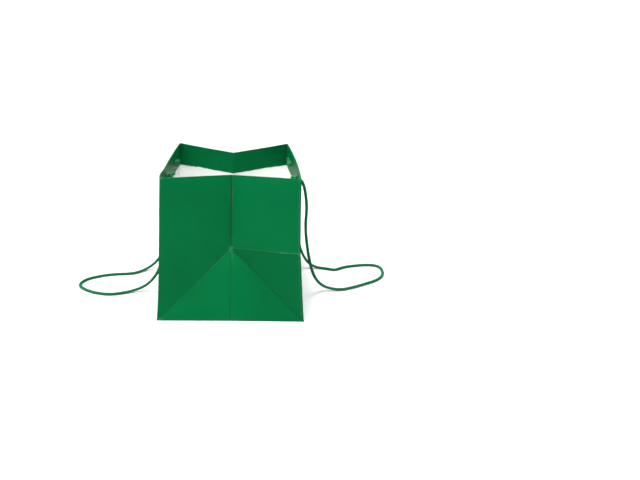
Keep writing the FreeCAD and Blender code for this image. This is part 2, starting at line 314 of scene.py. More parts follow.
def ripple(a, b, seed, size):
    """Soft unevenness of a creased sheet, zero mean, from a few long waves."""
    rng = np.random.RandomState(seed)
    out = 0
    for _ in range(5):
        wl = rng.uniform(55, 150)
        th = rng.uniform(0, math.pi)
        ph = rng.uniform(0, 2 * math.pi)
        out = out + np.sin(2 * math.pi * (a * math.cos(th) + b * math.sin(th)) / wl + ph)
    return out * size / 3.0


def gusset(sx, sy, u, v):
    """Middle surface of one half of a folded end. u runs from the side corner to the centre crease, v up from the floor, both 0 at the floor corner."""
    u, v = np.asarray(u, float), np.asarray(v, float)
    C, R, A, K = corner(sx, sy), rim_corner(sx, sy), apex(sy), crest(sy)
    ev = (R - C) / 200
    eu = (A - C - 100 * ev) / 100
    fu = (K - R) / 100
    fv = (K - A) / 100
    p1 = C + u[:, None] * eu + v[:, None] * ev
    p2 = R + u[:, None] * fu + (v - 200)[:, None] * fv
    # how near the soft bend between rim corner and apex: 0 on it and 1 on the panel's other edges
    s = (200 - u - v) / 200
    low = s >= 0
    al = np.abs(s)
    ga = np.where(low, u / 100, 1 - u / 100 + 0.0)
    ga = np.where(low, u, np.clip(100 - u, 0, None)) / 100
    be = np.where(low, np.clip(v - u, 0, None) / 200, np.clip(200 - v, 0, None) / 100)
    ga, be = np.clip(ga, 0, None), np.clip(be, 0, None)
    r = al / (al + 3.2 * ga * be / (ga + be + 1e-6) + 1e-6)
    r = np.where(al < 1e-9, 0, r)
    w = np.where(low, 0.5 * (1 - r) ** 2, 1 - 0.5 * (1 - r) ** 2)
    p = p1 + w[:, None] * (p2 - p1)
    n = N_LOW[sx, sy]
    edge = np.clip(np.minimum.reduce([u, 100 - u, (v - u) * 0.7071, 200 - v]) / 22, 0, 1)
    edge = edge * edge * (3 - 2 * edge)
    seed = 11 + 3 * (sx + 1) + 7 * (sy + 1)
    p = p + n * (ripple(u, v, seed, 0.32) * edge)[:, None]
    if sx > 0:
        h = hat(u, v)
        p = p + h[:, None] * np.array([-NOTCH, sy * NOTCH_Y, 0.0])
    d_side, d_diag, d_mid = u, (v - u) * 0.7071, 100 - u
    push = (fall(d_side, W_SIDE)[:, None] * P_SIDE[sx, sy] + fall(d_diag, W_DIAG)[:, None] * P_DIAG[sx, sy]
            + fall(d_mid, W_CENTRE)[:, None] * P_CENTRE[sy])
    gc = fall(np.hypot(u, v), 3.5)[:, None]
    ga2 = fall(np.hypot(u - 100, v - 100), 3.5)[:, None]
    push = push * (1 - gc) * (1 - ga2) + gc * push_corner(sx, sy) + ga2 * push_apex(sy)
    return settle(p + push)


def foot(sy, u, v):
    """Middle surface of the sloping triangle between the two diagonals. u runs -100..100 along the floor, v up to the apex."""
    u, v = np.asarray(u, float), np.asarray(v, float)
    CL, CR, A = corner(-1, sy), corner(1, sy), apex(sy)
    mid = (CL + CR) / 2
    p = mid + (u / 100)[:, None] * (CR - CL) / 2 + (v / 100)[:, None] * (A - mid)
    n = N_FOOT[sy]
    d_l, d_r = (100 + u - v) * 0.7071, (100 - u - v) * 0.7071
    edge = np.clip(np.minimum.reduce([d_l, d_r, v * 1.6]) / 26, 0, 1)
    edge = edge * edge * (3 - 2 * edge)
    p = p + n * (edge * 0.9 + ripple(u, v, 31 + sy, 0.25) * edge - 0.35 * np.clip(1 - np.abs(u) / 5, 0, 1) ** 2 * np.clip(v / 6, 0, 1))[:, None]
    push = (fall(d_l, W_DIAG)[:, None] * P_DIAG[-1, sy] + fall(d_r, W_DIAG)[:, None] * P_DIAG[1, sy]
            + fall(v, W_FLOOR)[:, None] * P_FLOOR["foot", sy])
    gl = fall(np.hypot((100 + u - v) * 0.7071, (100 + u + v) * 0.7071), 3.5)[:, None]
    gr = fall(np.hypot((100 - u - v) * 0.7071, (100 - u + v) * 0.7071), 3.5)[:, None]
    gt = fall(np.hypot(u, 100 - v), 3.5)[:, None]
    push = push * (1 - gl) * (1 - gr) * (1 - gt) + gl * push_corner(-1, sy) + gr * push_corner(1, sy) + gt * push_apex(sy)
    return settle(p + push)


BOW = {-1: 2.7, 1: 3.0}


def wall(sx, y, v):
    """Middle surface of a rope face. y runs front to back, v up the sheet."""
    y, v = np.asarray(y, float), np.asarray(v, float)
    n = face_normal(sx)
    up = np.array([-sx * math.sin(LEAN), 0.0, math.cos(LEAN)])
    p = np.array([sx * HW, 0.0, Z0]) + v[:, None] * up + y[:, None] * np.array([0.0, 1.0, 0.0])
    g = smoothstep(v, 0, 200)
    arch = np.sin(math.pi * np.clip((y + HD) / (2 * HD), 0, 1))
    if sx < 0:
        # fullest just behind the front corner, where the rim turns in short
        out = BOW[sx] * arch ** 0.62 + 1.8 * np.exp(-((y + 98) / 21.0) ** 2) * np.clip((y + HD) / 9.0, 0, 1)
    else:
        out = BOW[sx] * arch ** 0.85 * (1 - 0.16 * y / HD)
    p = p + n * (out * g)[:, None]
    edge = np.clip(np.minimum.reduce([HD - np.abs(y), v, 200 - v + 6]) / 25, 0, 1)
    edge = edge * edge * (3 - 2 * edge)
    p = p + n * (ripple(y, v, 51 + sx, 0.45) * edge)[:, None]
    if sx > 0:
        h = hat(np.zeros_like(v), v)
        p = p + h[:, None] * np.array([-NOTCH, 0, 0.0]) + (h * NOTCH_Y * np.clip(np.abs(y) / HD, 0, 1) ** 3 * np.sign(y))[:, None] * np.array([0.0, 1.0, 0.0])
    push = fall(v, W_FLOOR)[:, None] * P_FLOOR["face", sx]
    keep = 1.0
    add = 0.0
    for sy in (-1, 1):
        d = HD - sy * y
        push = push + fall(d, W_SIDE)[:, None] * P_SIDE[sx, sy]
        gc = fall(np.hypot(d, v), 3.5)[:, None]
        keep = keep * (1 - gc)
        add = add + gc * push_corner(sx, sy)
    return settle(p + push * keep + add)


# ---------------------------------------------------------------- sheets with thickness
def steps(a, b, coarse, fine_a=True, fine_b=True):
    """Positions from a to b, close together near the ends that are creases."""
    ladder = [0.22, 0.45, 0.7, 1.0, 1.4, 1.9, 2.6, 3.6, 5.2, 7.6, 11.0]
    length = b - a
    left = [x for x in ladder if x < length * 0.45] if fine_a else []
    right = [x for x in ladder if x < length * 0.45] if fine_b else []
    lo = left[-1] if left else 0.0
    hi = right[-1] if right else 0.0
    n = max(1, int(round((length - lo - hi) / coarse)))
    mid = np.linspace(lo, length - hi, n + 1)
    out = [0.0] + left[:-1] + list(mid) + [length - x for x in reversed(right[:-1])] + [length]
    out = sorted(set(round(float(x), 5) for x in out))
    return a + np.array(out)


def quad_grid(ni, nj):
    return [(i * nj + j, (i + 1) * nj + j, (i + 1) * nj + j + 1, i * nj + j + 1) for i in range(ni - 1) for j in range(nj - 1)]


def shell(name, uv, faces, fmap, outward, thick, mats, attrs=None, flat_w=0.0, rim_mat=(0, 1), lined=None):
    """A sheet of paper from a flat net. fmap gives the middle surface in millimetres.
    outward is a direction, or 1 where the net's own turning gives the outside.
    Outer faces take mats[0], inner ones mats[1]; rim_mat says which the two halves of the edge take.
    lined(u, v) is true where the inner side is covered with the printed side of the turned hem."""
    uv = np.asarray(uv, float)
    e = 0.02
    P = fmap(uv[:, 0], uv[:, 1])
    Pu = (fmap(uv[:, 0] + e, uv[:, 1]) - fmap(uv[:, 0] - e, uv[:, 1])) / (2 * e)
    Pv = (fmap(uv[:, 0], uv[:, 1] + e) - fmap(uv[:, 0], uv[:, 1] - e)) / (2 * e)
    N = np.cross(Pu, Pv)
    N /= np.linalg.norm(N, axis=1)[:, None]
    sgn = 1.0 if np.isscalar(outward) or (N @ outward).mean() > 0 else -1.0
    N = N * sgn
    # every face counter-clockwise in the flat net
    fixed = []
    for f in faces:
        q = uv[list(f)]
        area = 0.5 * float(np.sum(q[:, 0] * np.roll(q[:, 1], -1) - q[:, 1] * np.roll(q[:, 0], -1)))
        if abs(area) < 1e-9:
            continue
        fixed.append(tuple(f) if area > 0 else tuple(reversed(f)))
    edges = {}
    for f in fixed:
        for a, b in zip(f, f[1:] + f[:1]):
            edges[(a, b)] = True
    border = [(a, b) for a, b in edges if (b, a) not in edges]
    o = np.zeros_like(uv)
    for a, b in border:
        d = uv[b] - uv[a]
        d = d / (np.linalg.norm(d) + 1e-12)
        nrm = np.array([d[1], -d[0]])
        o[a] += nrm
        o[b] += nrm
    used = sorted({i for ab in border for i in ab})
    index = {v: k for k, v in enumerate(used)}
    ou = o[used]
    ou /= np.linalg.norm(ou, axis=1)[:, None] + 1e-12
    O = Pu[used] * ou[:, :1] + Pv[used] * ou[:, 1:]
    Nb = N[used]
    O = O - Nb * np.sum(O * Nb, axis=1)[:, None]
    O /= np.linalg.norm(O, axis=1)[:, None] + 1e-12
    h = thick / 2.0
    n0 = len(uv)
    parts = [P + N * h, P - N * h]
    levels = []
    for phi in (45, 90, 135):
        a = math.radians(phi)
        parts.append(P[used] + (Nb * math.cos(a) + O * math.sin(a)) * h)
        levels.append(2 * n0 + (len(levels)) * len(used))
    verts = np.concatenate(parts)
    out_faces, mat_ids = [], []

    def add(f, m):
        out_faces.append(f if sgn > 0 else tuple(reversed(f)))
        mat_ids.append(m)

    def inside(ids, plain):
        mid = uv[list(ids)].mean(axis=0)
        return 0 if lined is not None and lined(mid[0], mid[1]) else plain

    for f in fixed:
        add(f, 0)
        add(tuple(n0 + i for i in reversed(f)), inside(f, 1))
    for a, b in border:
        la = [a] + [lv + index[a] for lv in levels] + [n0 + a]
        lb = [b] + [lv + index[b] for lv in levels] + [n0 + b]
        for k in range(4):
            add((la[k], la[k + 1], lb[k + 1], lb[k]), rim_mat[0] if k < 2 else inside((a, b), rim_mat[1]))
    flat = np.concatenate([uv, np.full((n0, 1), flat_w)], axis=1)
    all_attrs = {"flat": np.concatenate([flat, flat, flat[used], flat[used], flat[used]])}
    for key, fn in (attrs or {}).items():
        val = fn(uv[:, 0], uv[:, 1])
        all_attrs[key] = np.concatenate([val, val, val[used], val[used], val[used]])
    # drop vertices that no face uses
    seen = np.zeros(len(verts), bool)
    for f in out_faces:
        for i in f:
            seen[i] = True
    new_index = np.cumsum(seen) - 1
    out_faces = [tuple(int(new_index[i]) for i in f) for f in out_faces]
    all_attrs = {k: v[seen] for k, v in all_attrs.items()}
    return new_object(name, verts[seen] * MM, out_faces, mats, mat_ids, True, all_attrs)


def punch(us, vs, holes, radius, cells=6):
    """A flat net on the lines us, vs with round holes. Each hole takes a square of cells lines, which has to be on the lines."""
    us, vs = np.array(us), np.array(vs)
    ni, nj = len(us), len(vs)
    uv = [(u, v) for u in us for v in vs]
    faces = {}
    for i in range(ni - 1):
        for j in range(nj - 1):
            faces[i, j] = (i * nj + j, (i + 1) * nj + j, (i + 1) * nj + j + 1, i * nj + j + 1)
    extra = []
    for hu, hv in holes:
        i0 = int(np.argmin(np.abs(us - hu))) - cells // 2
        j0 = int(np.argmin(np.abs(vs - hv))) - cells // 2
        for i in range(i0, i0 + cells):
            for j in range(j0, j0 + cells):
                faces.pop((i, j), None)
        ring = [(i, j0) for i in range(i0, i0 + cells)] + [(i0 + cells, j) for j in range(j0, j0 + cells)]
        ring += [(i, j0 + cells) for i in range(i0 + cells, i0, -1)] + [(i0, j) for j in range(j0 + cells, j0, -1)]
        outer = [i * nj + j for i, j in ring]
        prev = outer
        n = len(outer)
        pts = np.array([uv[k] for k in outer])
        ang = np.arctan2(pts[:, 1] - hv, pts[:, 0] - hu)
        dist = np.hypot(pts[:, 0] - hu, pts[:, 1] - hv)
        for share in (0.55, 0.2, 0.0):
            rr = radius + (dist - radius) * share
            start = len(uv)
            for k in range(n):
                uv.append((hu + rr[k] * math.cos(ang[k]), hv + rr[k] * math.sin(ang[k])))
            for k in range(n):
                a, b = prev[k], prev[(k + 1) % n]
                extra.append((a, b, start + (k + 1) % n, start + k))
            prev = [start + k for k in range(n)]
    return np.array(uv), list(faces.values()) + extra


def lines_with(base, centre, half, cells):
    """Adds evenly spaced lines centre-half..centre+half, and clears others near them."""
    mine = np.linspace(centre - half, centre + half, cells + 1)
    rest = [x for x in base if x < centre - half - 1.0 or x > centre + half + 1.0]
    return np.array(sorted(list(rest) + list(mine)))


# ---------------------------------------------------------------- materials
def nodes_of(name):
    m = bpy.data.materials.new(name)
    m.use_nodes = True
    nt = m.node_tree
    bsdf = next(n for n in nt.nodes if n.type == "BSDF_PRINCIPLED")
    return m, nt, bsdf


class Net:
    """Short calls for building a node tree."""

    def __init__(self, nt):
        self.nt = nt

    def node(self, kind, **props):
        n = self.nt.nodes.new(kind)
        for k, v in props.items():
            setattr(n, k, v)
        return n

    def link(self, a, b):
        self.nt.links.new(a, b)

    def put(self, socket, value):
        if isinstance(value, (int, float)):
            socket.default_value = value
        elif isinstance(value, tuple):
            socket.default_value = value
        else:
            self.link(value, socket)

    def math(self, op, a, b=None, c=None, clamp=False):
        n = self.node("ShaderNodeMath", operation=op, use_clamp=clamp)
        self.put(n.inputs[0], a)
        if b is not None:
            self.put(n.inputs[1], b)
        if c is not None:
            self.put(n.inputs[2], c)
        return n.outputs[0]

    def attr(self, name, vector=False):
        n = self.node("ShaderNodeAttribute", attribute_name=name)
        return n.outputs["Vector"] if vector else n.outputs["Fac"]

    def noise(self, coord, scale, detail=3.0, rough=0.55, distortion=0.0):
        n = self.node("ShaderNodeTexNoise")
        self.link(coord, n.inputs["Vector"])
        n.inputs["Scale"].default_value = scale
        n.inputs["Detail"].default_value = detail
        n.inputs["Roughness"].default_value = rough
        n.inputs["Distortion"].default_value = distortion
        return n.outputs["Fac"]

    def span(self, value, a, b, c=0.0, d=1.0, smooth=False):
        n = self.node("ShaderNodeMapRange", clamp=True, interpolation_type="SMOOTHSTEP" if smooth else "LINEAR")
        self.put(n.inputs["Value"], value)
        n.inputs["From Min"].default_value = a
        n.inputs["From Max"].default_value = b
        n.inputs["To Min"].default_value = c
        n.inputs["To Max"].default_value = d
        return n.outputs["Result"]

    def mix(self, fac, a, b, blend="MIX"):
        n = self.node("ShaderNodeMix", data_type="RGBA", blend_type=blend)
        n.clamp_result = False
        self.put(n.inputs[0], fac)
        self.put(n.inputs[6], a)
        self.put(n.inputs[7], b)
        return n.outputs[2]

    def bump(self, height, strength, distance, normal=None):
        n = self.node("ShaderNodeBump")
        n.inputs["Strength"].default_value = strength
        n.inputs["Distance"].default_value = distance
        self.link(height, n.inputs["Height"])
        if normal is not None:
            self.link(normal, n.inputs["Normal"])
        return n.outputs["Normal"]

    def scaled(self, coord, x, y=None, z=None):
        n = self.node("ShaderNodeVectorMath", operation="MULTIPLY")
        self.link(coord, n.inputs[0])
        n.inputs[1].default_value = (x, x if y is None else y, x if z is None else z)
        return n.outputs[0]

    def near(self, coord, point, radius):
        """1 at a point of the flat sheet and 0 beyond radius, both in millimetres."""
        n = self.node("ShaderNodeVectorMath", operation="DISTANCE")
        self.link(coord, n.inputs[0])
        n.inputs[1].default_value = point
        return self.span(n.outputs["Value"], 0.0, radius, 1.0, 0.0, True)


def green_paper(name, level, rough, flutes=0.0, tone=(0.0004, 0.1060, 0.0294)):
    """Paper printed green and coated: even colour, faint mottling, painted light and shade that makes some panels
    lighter or darker, painted shade as dark lines in the valley creases, on a corner and along the floor, the print
    worn pale along the ridges and at the points."""
    m, nt, bsdf = nodes_of(name)
    g = Net(nt)
    flat = g.attr("flat", True)
    coarse = g.noise(flat, 0.016, 2.0, 0.5)
    cloud = g.noise(flat, 0.09, 3.0, 0.6)
    mottle = g.noise(flat, 0.75, 5.0, 0.65)
    grain = g.noise(g.scaled(flat, 1.0, 0.45, 1.0), 3.2, 4.0, 0.7)
    t = tone
    dark = (t[0] * 0.9, t[1] * 0.955, t[2] * 0.95, 1)
    lite = (t[0] * 1.2, t[1] * 1.04, t[2] * 1.05, 1)
    col = g.mix(g.span(coarse, 0.32, 0.68), dark, lite)
    col = g.mix(g.span(cloud, 0.35, 0.7, 0.0, 0.30), col, (t[0] * 2.5, t[1] * 0.95, t[2] * 1.10, 1))
    col = g.mix(g.span(mottle, 0.40, 0.75, 0.0, 0.40), col, (t[0] * 1.8, t[1] * 1.18, t[2] * 1.14, 1))
    # painted light and shade: a vertex attribute lightens the paper where panels face the light and darkens it where
    # they are turned away
    col = g.mix(g.span(g.attr("tone"), -1.0, 1.0, 0.0, 1.0), g.mix(1.0, col, (0.9, 0.80, 0.84, 1), "MULTIPLY"), g.mix(1.0, col, (1.0, 1.20, 1.18, 1), "MULTIPLY"))
    # valley creases: a dark thin line of painted shade, broken up by the crack noise, with a greyer edge of cracked
    # coating
    fin = g.attr("fold_in")
    fout = g.attr("fold_out")
    crack = g.noise(flat, 0.30, 4.0, 0.7)
    fine_crack = g.noise(flat, 1.6, 3.0, 0.7)
    val = g.math("MULTIPLY", g.span(fin, 0.30, 1.30, 1.0, 0.0, True), g.span(crack, 0.28, 0.62, 0.50, 1.0))
    col = g.mix(g.math("MULTIPLY", val, 0.85), col, (0.0050, 0.034, 0.0160, 1))
    halo = g.math("MULTIPLY", g.span(fin, 1.0, 3.4, 1.0, 0.0, True), g.span(crack, 0.40, 0.75, 0.0, 0.35))
    col = g.mix(halo, col, (t[0] * 4.0, t[1] * 1.14, t[2] * 1.40, 1))
    # ridges and rims: print rubbed off in short dashes
    rub = g.math("MULTIPLY", g.span(fout, 0.10, 0.95, 1.0, 0.0, True), g.span(crack, 0.40, 0.66, 0.06, 1.0))
    rub = g.math("MULTIPLY", rub, g.span(fine_crack, 0.30, 0.62, 0.35, 1.0))
    worn = g.attr("wear")
    rub = g.math("MULTIPLY", rub, worn, clamp=True)
    col = g.mix(g.math("MULTIPLY", rub, 0.62), col, (0.080, 0.245, 0.140, 1))
    # scuffs at given places of the net
    scuff = g.math("MULTIPLY", g.attr("scuff"), g.span(fine_crack, 0.34, 0.60, 0.15, 1.0), clamp=True)
    col = g.mix(g.math("MULTIPLY", scuff, 0.62), col, (0.066, 0.225, 0.125, 1))
    # painted shade in creases, on the rounded right corner, below the cross crease and along the bottom edge, and a
    # darker ring round each rope hole
    shade_and_grime = g.math("MULTIPLY", g.attr("shade_and_grime"), g.span(crack, 0.30, 0.6, 0.3, 1.0), clamp=True)
    col = g.mix(g.math("MULTIPLY", shade_and_grime, 0.75), col, (0.0070, 0.040, 0.0200, 1))
    g.link(col, bsdf.inputs["Base Color"])
    r = g.math("ADD", g.span(mottle, 0.3, 0.7, rough - 0.05, rough + 0.06), g.span(fin, 0.0, 2.0, 0.10, 0.0))
    r = g.math("ADD", r, g.math("MULTIPLY", rub, 0.25))
    g.link(r, bsdf.inputs["Roughness"])
    g.link(g.span(val, 0.0, 1.0, level, 0.0), bsdf.inputs["Specular IOR Level"])
    height = g.math("ADD", g.math("MULTIPLY", grain, 0.5), g.math("MULTIPLY", mottle, 0.9))
    height = g.math("ADD", height, g.math("MULTIPLY", rub, -0.8))
    height = g.math("ADD", height, g.math("MULTIPLY", val, -1.0))
    wavy = None
    if flutes > 0:
        wavy = g.bump(g.noise(g.scaled(flat, 0.12, 0.012, 1.0), 1.0, 1.5, 0.4), 0.6, flutes)
    g.link(g.bump(height, 0.35, 0.00009, wavy), bsdf.inputs["Normal"])
    return m


def white_paper(name, tone=(0.86, 0.86, 0.84)):
    """The unprinted side: bleached paper with short fibres and a little yellowing."""
    m, nt, bsdf = nodes_of(name)
    g = Net(nt)
    flat = g.attr("flat", True)
    cloud = g.noise(flat, 0.05, 3.0, 0.6)
    fibre = g.noise(g.scaled(flat, 1.0, 0.30, 1.0), 2.4, 5.0, 0.75, 0.6)
    t = tone
    col = g.mix(g.span(cloud, 0.3, 0.7), (t[0], t[1], t[2], 1), (t[0] * 0.98, t[1] * 0.975, t[2] * 0.965, 1))
    col = g.mix(g.span(fibre, 0.55, 0.8, 0.0, 0.18), col, (t[0] * 0.86, t[1] * 0.86, t[2] * 0.83, 1))
    fin = g.attr("fold_in")
    fout = g.attr("fold_out")
    # painted shade: the white side darkened along the crease lines
    line = g.math("ADD", g.span(fin, 0.1, 0.8, 1.0, 0.0, True), g.span(fout, 0.1, 0.9, 1.0, 0.0, True), clamp=True)
    col = g.mix(g.math("MULTIPLY", line, 0.35), col, (t[0] * 0.62, t[1] * 0.64, t[2] * 0.62, 1))
    g.link(col, bsdf.inputs["Base Color"])
    g.link(g.span(cloud, 0.3, 0.7, 0.78, 0.9), bsdf.inputs["Roughness"])
    bsdf.inputs["Specular IOR Level"].default_value = 0.2
    g.link(g.bump(g.math("ADD", fibre, g.math("MULTIPLY", line, -1.2)), 0.35, 0.00008), bsdf.inputs["Normal"])
    return m


def card_board(name, tone, fleck):
    """Grey board: pulp with flecks, compressed faces and a rougher cut edge."""
    m, nt, bsdf = nodes_of(name)
    g = Net(nt)
    flat = g.attr("flat", True)
    cloud = g.noise(flat, 0.06, 3.0, 0.6)
    pulp = g.noise(g.scaled(flat, 1.0, 0.6, 1.0), 1.5, 6.0, 0.75)
    spots = g.noise(flat, 2.6, 2.0, 0.5)
    t = tone
    col = g.mix(g.span(cloud, 0.3, 0.7), (t[0], t[1], t[2], 1), (t[0] * 0.9, t[1] * 0.89, t[2] * 0.87, 1))
    col = g.mix(g.span(pulp, 0.45, 0.75, 0.0, 0.35), col, (t[0] * 0.8, t[1] * 0.79, t[2] * 0.77, 1))
    col = g.mix(g.span(spots, 0.70, 0.76, 0.0, 0.6), col, (fleck[0], fleck[1], fleck[2], 1))
    fout = g.attr("fold_out")
    edge = g.span(fout, 0.1, 1.6, 1.0, 0.0, True)
    col = g.mix(g.math("MULTIPLY", edge, 0.5), col, (t[0] * 0.7, t[1] * 0.68, t[2] * 0.64, 1))
    g.link(col, bsdf.inputs["Base Color"])
    g.link(g.span(pulp, 0.3, 0.7, 0.8, 0.95), bsdf.inputs["Roughness"])
    bsdf.inputs["Specular IOR Level"].default_value = 0.15
    g.link(g.bump(pulp, 0.5, 0.00012), bsdf.inputs["Normal"])
    return m


def rope_yarn(name, tone, pale, fuzz):
    """Twisted cord: fine yarns along each strand, painted shade on the strand sides that face into the rope, a soft
    sheen of loose fibre.
    """
    m, nt, bsdf = nodes_of(name)
    g = Net(nt)
    lay = g.attr("lay", True)
    sep = g.node("ShaderNodeSeparateXYZ")
    g.link(lay, sep.inputs[0])
    along, round_, which = sep.outputs
    # yarns run nearly along each strand, slightly twisted the other way
    yarn = g.math("SINE", g.math("MULTIPLY", g.math("ADD", g.math("MULTIPLY", round_, 7.0), g.math("MULTIPLY", along, -0.32)), 6.28318))
    yarn01 = g.span(yarn, -1.0, 1.0)
    obj = g.node("ShaderNodeTexCoord").outputs["Object"]
    hair = g.noise(obj, 2600.0, 4.0, 0.7)
    blot = g.noise(obj, 140.0, 3.0, 0.6)
    t, p = tone, pale
    col = g.mix(g.span(blot, 0.3, 0.7), (t[0] * 0.8, t[1] * 0.85, t[2] * 0.85, 1), (t[0] * 1.25, t[1] * 1.15, t[2] * 1.15, 1))
    col = g.mix(g.math("MULTIPLY", yarn01, 0.35), col, (p[0], p[1], p[2], 1))
    col = g.mix(g.span(hair, 0.5, 0.8, 0.0, 0.30), col, (p[0] * 1.4, p[1] * 1.25, p[2] * 1.3, 1))
    # painted shade: each strand darkened on its side that faces into the rope, between the strands
    strand_gap_shade = g.math("COSINE", g.math("MULTIPLY", round_, 6.28318))
    strand_gap_shade = g.span(strand_gap_shade, -0.55, 0.35, 1.0, 0.0, True)
    col = g.mix(g.math("MULTIPLY", strand_gap_shade, 0.75), col, (t[0] * 0.25, t[1] * 0.25, t[2] * 0.25, 1))
    g.link(col, bsdf.inputs["Base Color"])
    g.link(g.span(hair, 0.3, 0.7, 0.72, 0.92), bsdf.inputs["Roughness"])
    bsdf.inputs["Specular IOR Level"].default_value = 0.12
    bsdf.inputs["Sheen Weight"].default_value = fuzz
    bsdf.inputs["Sheen Roughness"].default_value = 0.5
    height = g.math("ADD", yarn01, g.math("MULTIPLY", hair, 0.6))
    g.link(g.bump(height, 0.6, 0.00012), bsdf.inputs["Normal"])
    return m


def floor_material():
    m, nt, bsdf = nodes_of("studio_floor")
    g = Net(nt)
    obj = g.node("ShaderNodeTexCoord").outputs["Object"]
    n = g.noise(obj, 3.0, 2.0, 0.5)
    g.link(g.mix(g.span(n, 0.3, 0.7), (0.825, 0.825, 0.825, 1), (0.845, 0.845, 0.845, 1)), bsdf.inputs["Base Color"])
    bsdf.inputs["Roughness"].default_value = 0.9
    bsdf.inputs["Specular IOR Level"].default_value = 0.0
    return m


M_GREEN = green_paper("green_coated_paper", 0.022, 0.40)
# the turned hem is the same print as the outside given a lighter green: painted light against the shade inside the bag
M_HEM = green_paper("green_turned_hem", 0.018, 0.36, flutes=0.0010, tone=(0.0008, 0.131, 0.0360))
M_WHITE = white_paper("white_inside", (0.972, 0.976, 0.976))
M_CARD = card_board("hem_card", (0.50, 0.47, 0.42), (0.22, 0.20, 0.17))
M_BASE = card_board("base_card", (0.72, 0.70, 0.66), (0.40, 0.38, 0.34))
M_ROPE = rope_yarn("rope_green", (0.0035, 0.125, 0.046), (0.016, 0.222, 0.100), 0.05)
# the knots and their frayed tails take a lighter copy of the rope's green: painted light on knots that sit in shade
# inside the hem
M_KNOT = rope_yarn("rope_knot_green", (0.018, 0.255, 0.118), (0.080, 0.425, 0.235), 0.10)


# ---------------------------------------------------------------- ropes and knots
def hole_point(sx, y):
    """Middle of the punched hole in the rope face, in millimetres."""
    return wall(sx, np.array([y]), np.array([ROPE_V]))[0]


# Routes of the two handles from the front hole round the loop to the back one, the points of the rope in part.py with the way out of each hole added.
RIGHT_ROUTE = [
    (0.0900, -0.0470, 0.1830), (0.0930, -0.0470, 0.1824), (0.0968, -0.0470, 0.1804), (0.1004, -0.0472, 0.1735),
    (0.1032, -0.0475, 0.1630), (0.1064, -0.0470, 0.1410), (0.1052, -0.0476, 0.1160), (0.1079, -0.0468, 0.0910),
    (0.1130, -0.0450, 0.0640), (0.1192, -0.0395, 0.0410), (0.1284, -0.0295, 0.0208), (0.1430, -0.0205, 0.0056),
    (0.1660, -0.0225, 0.0024), (0.1870, -0.0130, 0.0024), (0.2090, 0.0010, 0.0024), (0.2304, 0.0155, 0.0024),
    (0.2446, 0.0340, 0.0024), (0.2494, 0.0565, 0.0024), (0.2470, 0.0755, 0.0024), (0.2310, 0.0805, 0.0024),
    (0.2090, 0.0765, 0.0024), (0.1870, 0.0690, 0.0024), (0.1735, 0.0580, 0.0024), (0.1670, 0.0565, 0.0024),
    (0.1550, 0.0625, 0.0024), (0.1400, 0.0662, 0.0024), (0.1270, 0.0670, 0.0096), (0.1172, 0.0650, 0.0240),
    (0.1098, 0.0605, 0.0430), (0.1064, 0.0555, 0.0670), (0.1046, 0.0515, 0.0940), (0.1034, 0.0490, 0.1210),
    (0.1018, 0.0476, 0.1460), (0.1002, 0.0472, 0.1630), (0.0990, 0.0470, 0.1735), (0.0968, 0.0470, 0.1802),
    (0.0930, 0.0470, 0.1824), (0.0900, 0.0470, 0.1830),
]
LEFT_ROUTE = [
    (-0.0908, -0.0470, 0.1830), (-0.0935, -0.0470, 0.1824), (-0.0966, -0.0470, 0.1804), (-0.0981, -0.0471, 0.1735),
    (-0.0985, -0.0473, 0.1630), (-0.0993, -0.0476, 0.1420), (-0.1002, -0.0468, 0.1160), (-0.1012, -0.0448, 0.0890),
    (-0.1026, -0.0414, 0.0630), (-0.1084, -0.0358, 0.0392), (-0.1206, -0.0300, 0.0190), (-0.1360, -0.0290, 0.0060),
    (-0.1560, -0.0375, 0.0024), (-0.1800, -0.0475, 0.0024), (-0.2050, -0.0430, 0.0024), (-0.2245, -0.0315, 0.0024),
    (-0.2389, -0.0160, 0.0024), (-0.2352, 0.0055, 0.0024), (-0.2140, 0.0215, 0.0024), (-0.1880, 0.0300, 0.0024),
    (-0.1625, 0.0315, 0.0024), (-0.1450, 0.0475, 0.0028), (-0.1320, 0.0580, 0.0088), (-0.1210, 0.0605, 0.0212),
    (-0.1125, 0.0590, 0.0410), (-0.1080, 0.0550, 0.0670), (-0.1054, 0.0510, 0.0940), (-0.1038, 0.0486, 0.1210),
    (-0.1018, 0.0474, 0.1460), (-0.0998, 0.0472, 0.1630), (-0.0986, 0.0470, 0.1735), (-0.0968, 0.0470, 0.1804),
    (-0.0937, 0.0470, 0.1824), (-0.0908, 0.0470, 0.1830),
]
KNOT_TAILS = {("left", "front"): (0.80, 0.30, 0.52), ("left", "back"): (0.60, -0.35, 0.45),
              ("right", "front"): (-0.75, -0.55, -0.10), ("right", "back"): (-0.45, 0.45, 0.75)}
TAIL_LEN = {("left", "front"): 10.5, ("left", "back"): 9.0, ("right", "front"): 7.5, ("right", "back"): 11.0}
KNOT_SET = {("left", "front"): (6.3, 4.0), ("left", "back"): (5.6, 2.6), ("right", "front"): (4.9, 2.3), ("right", "back"): (4.9, 2.3)}


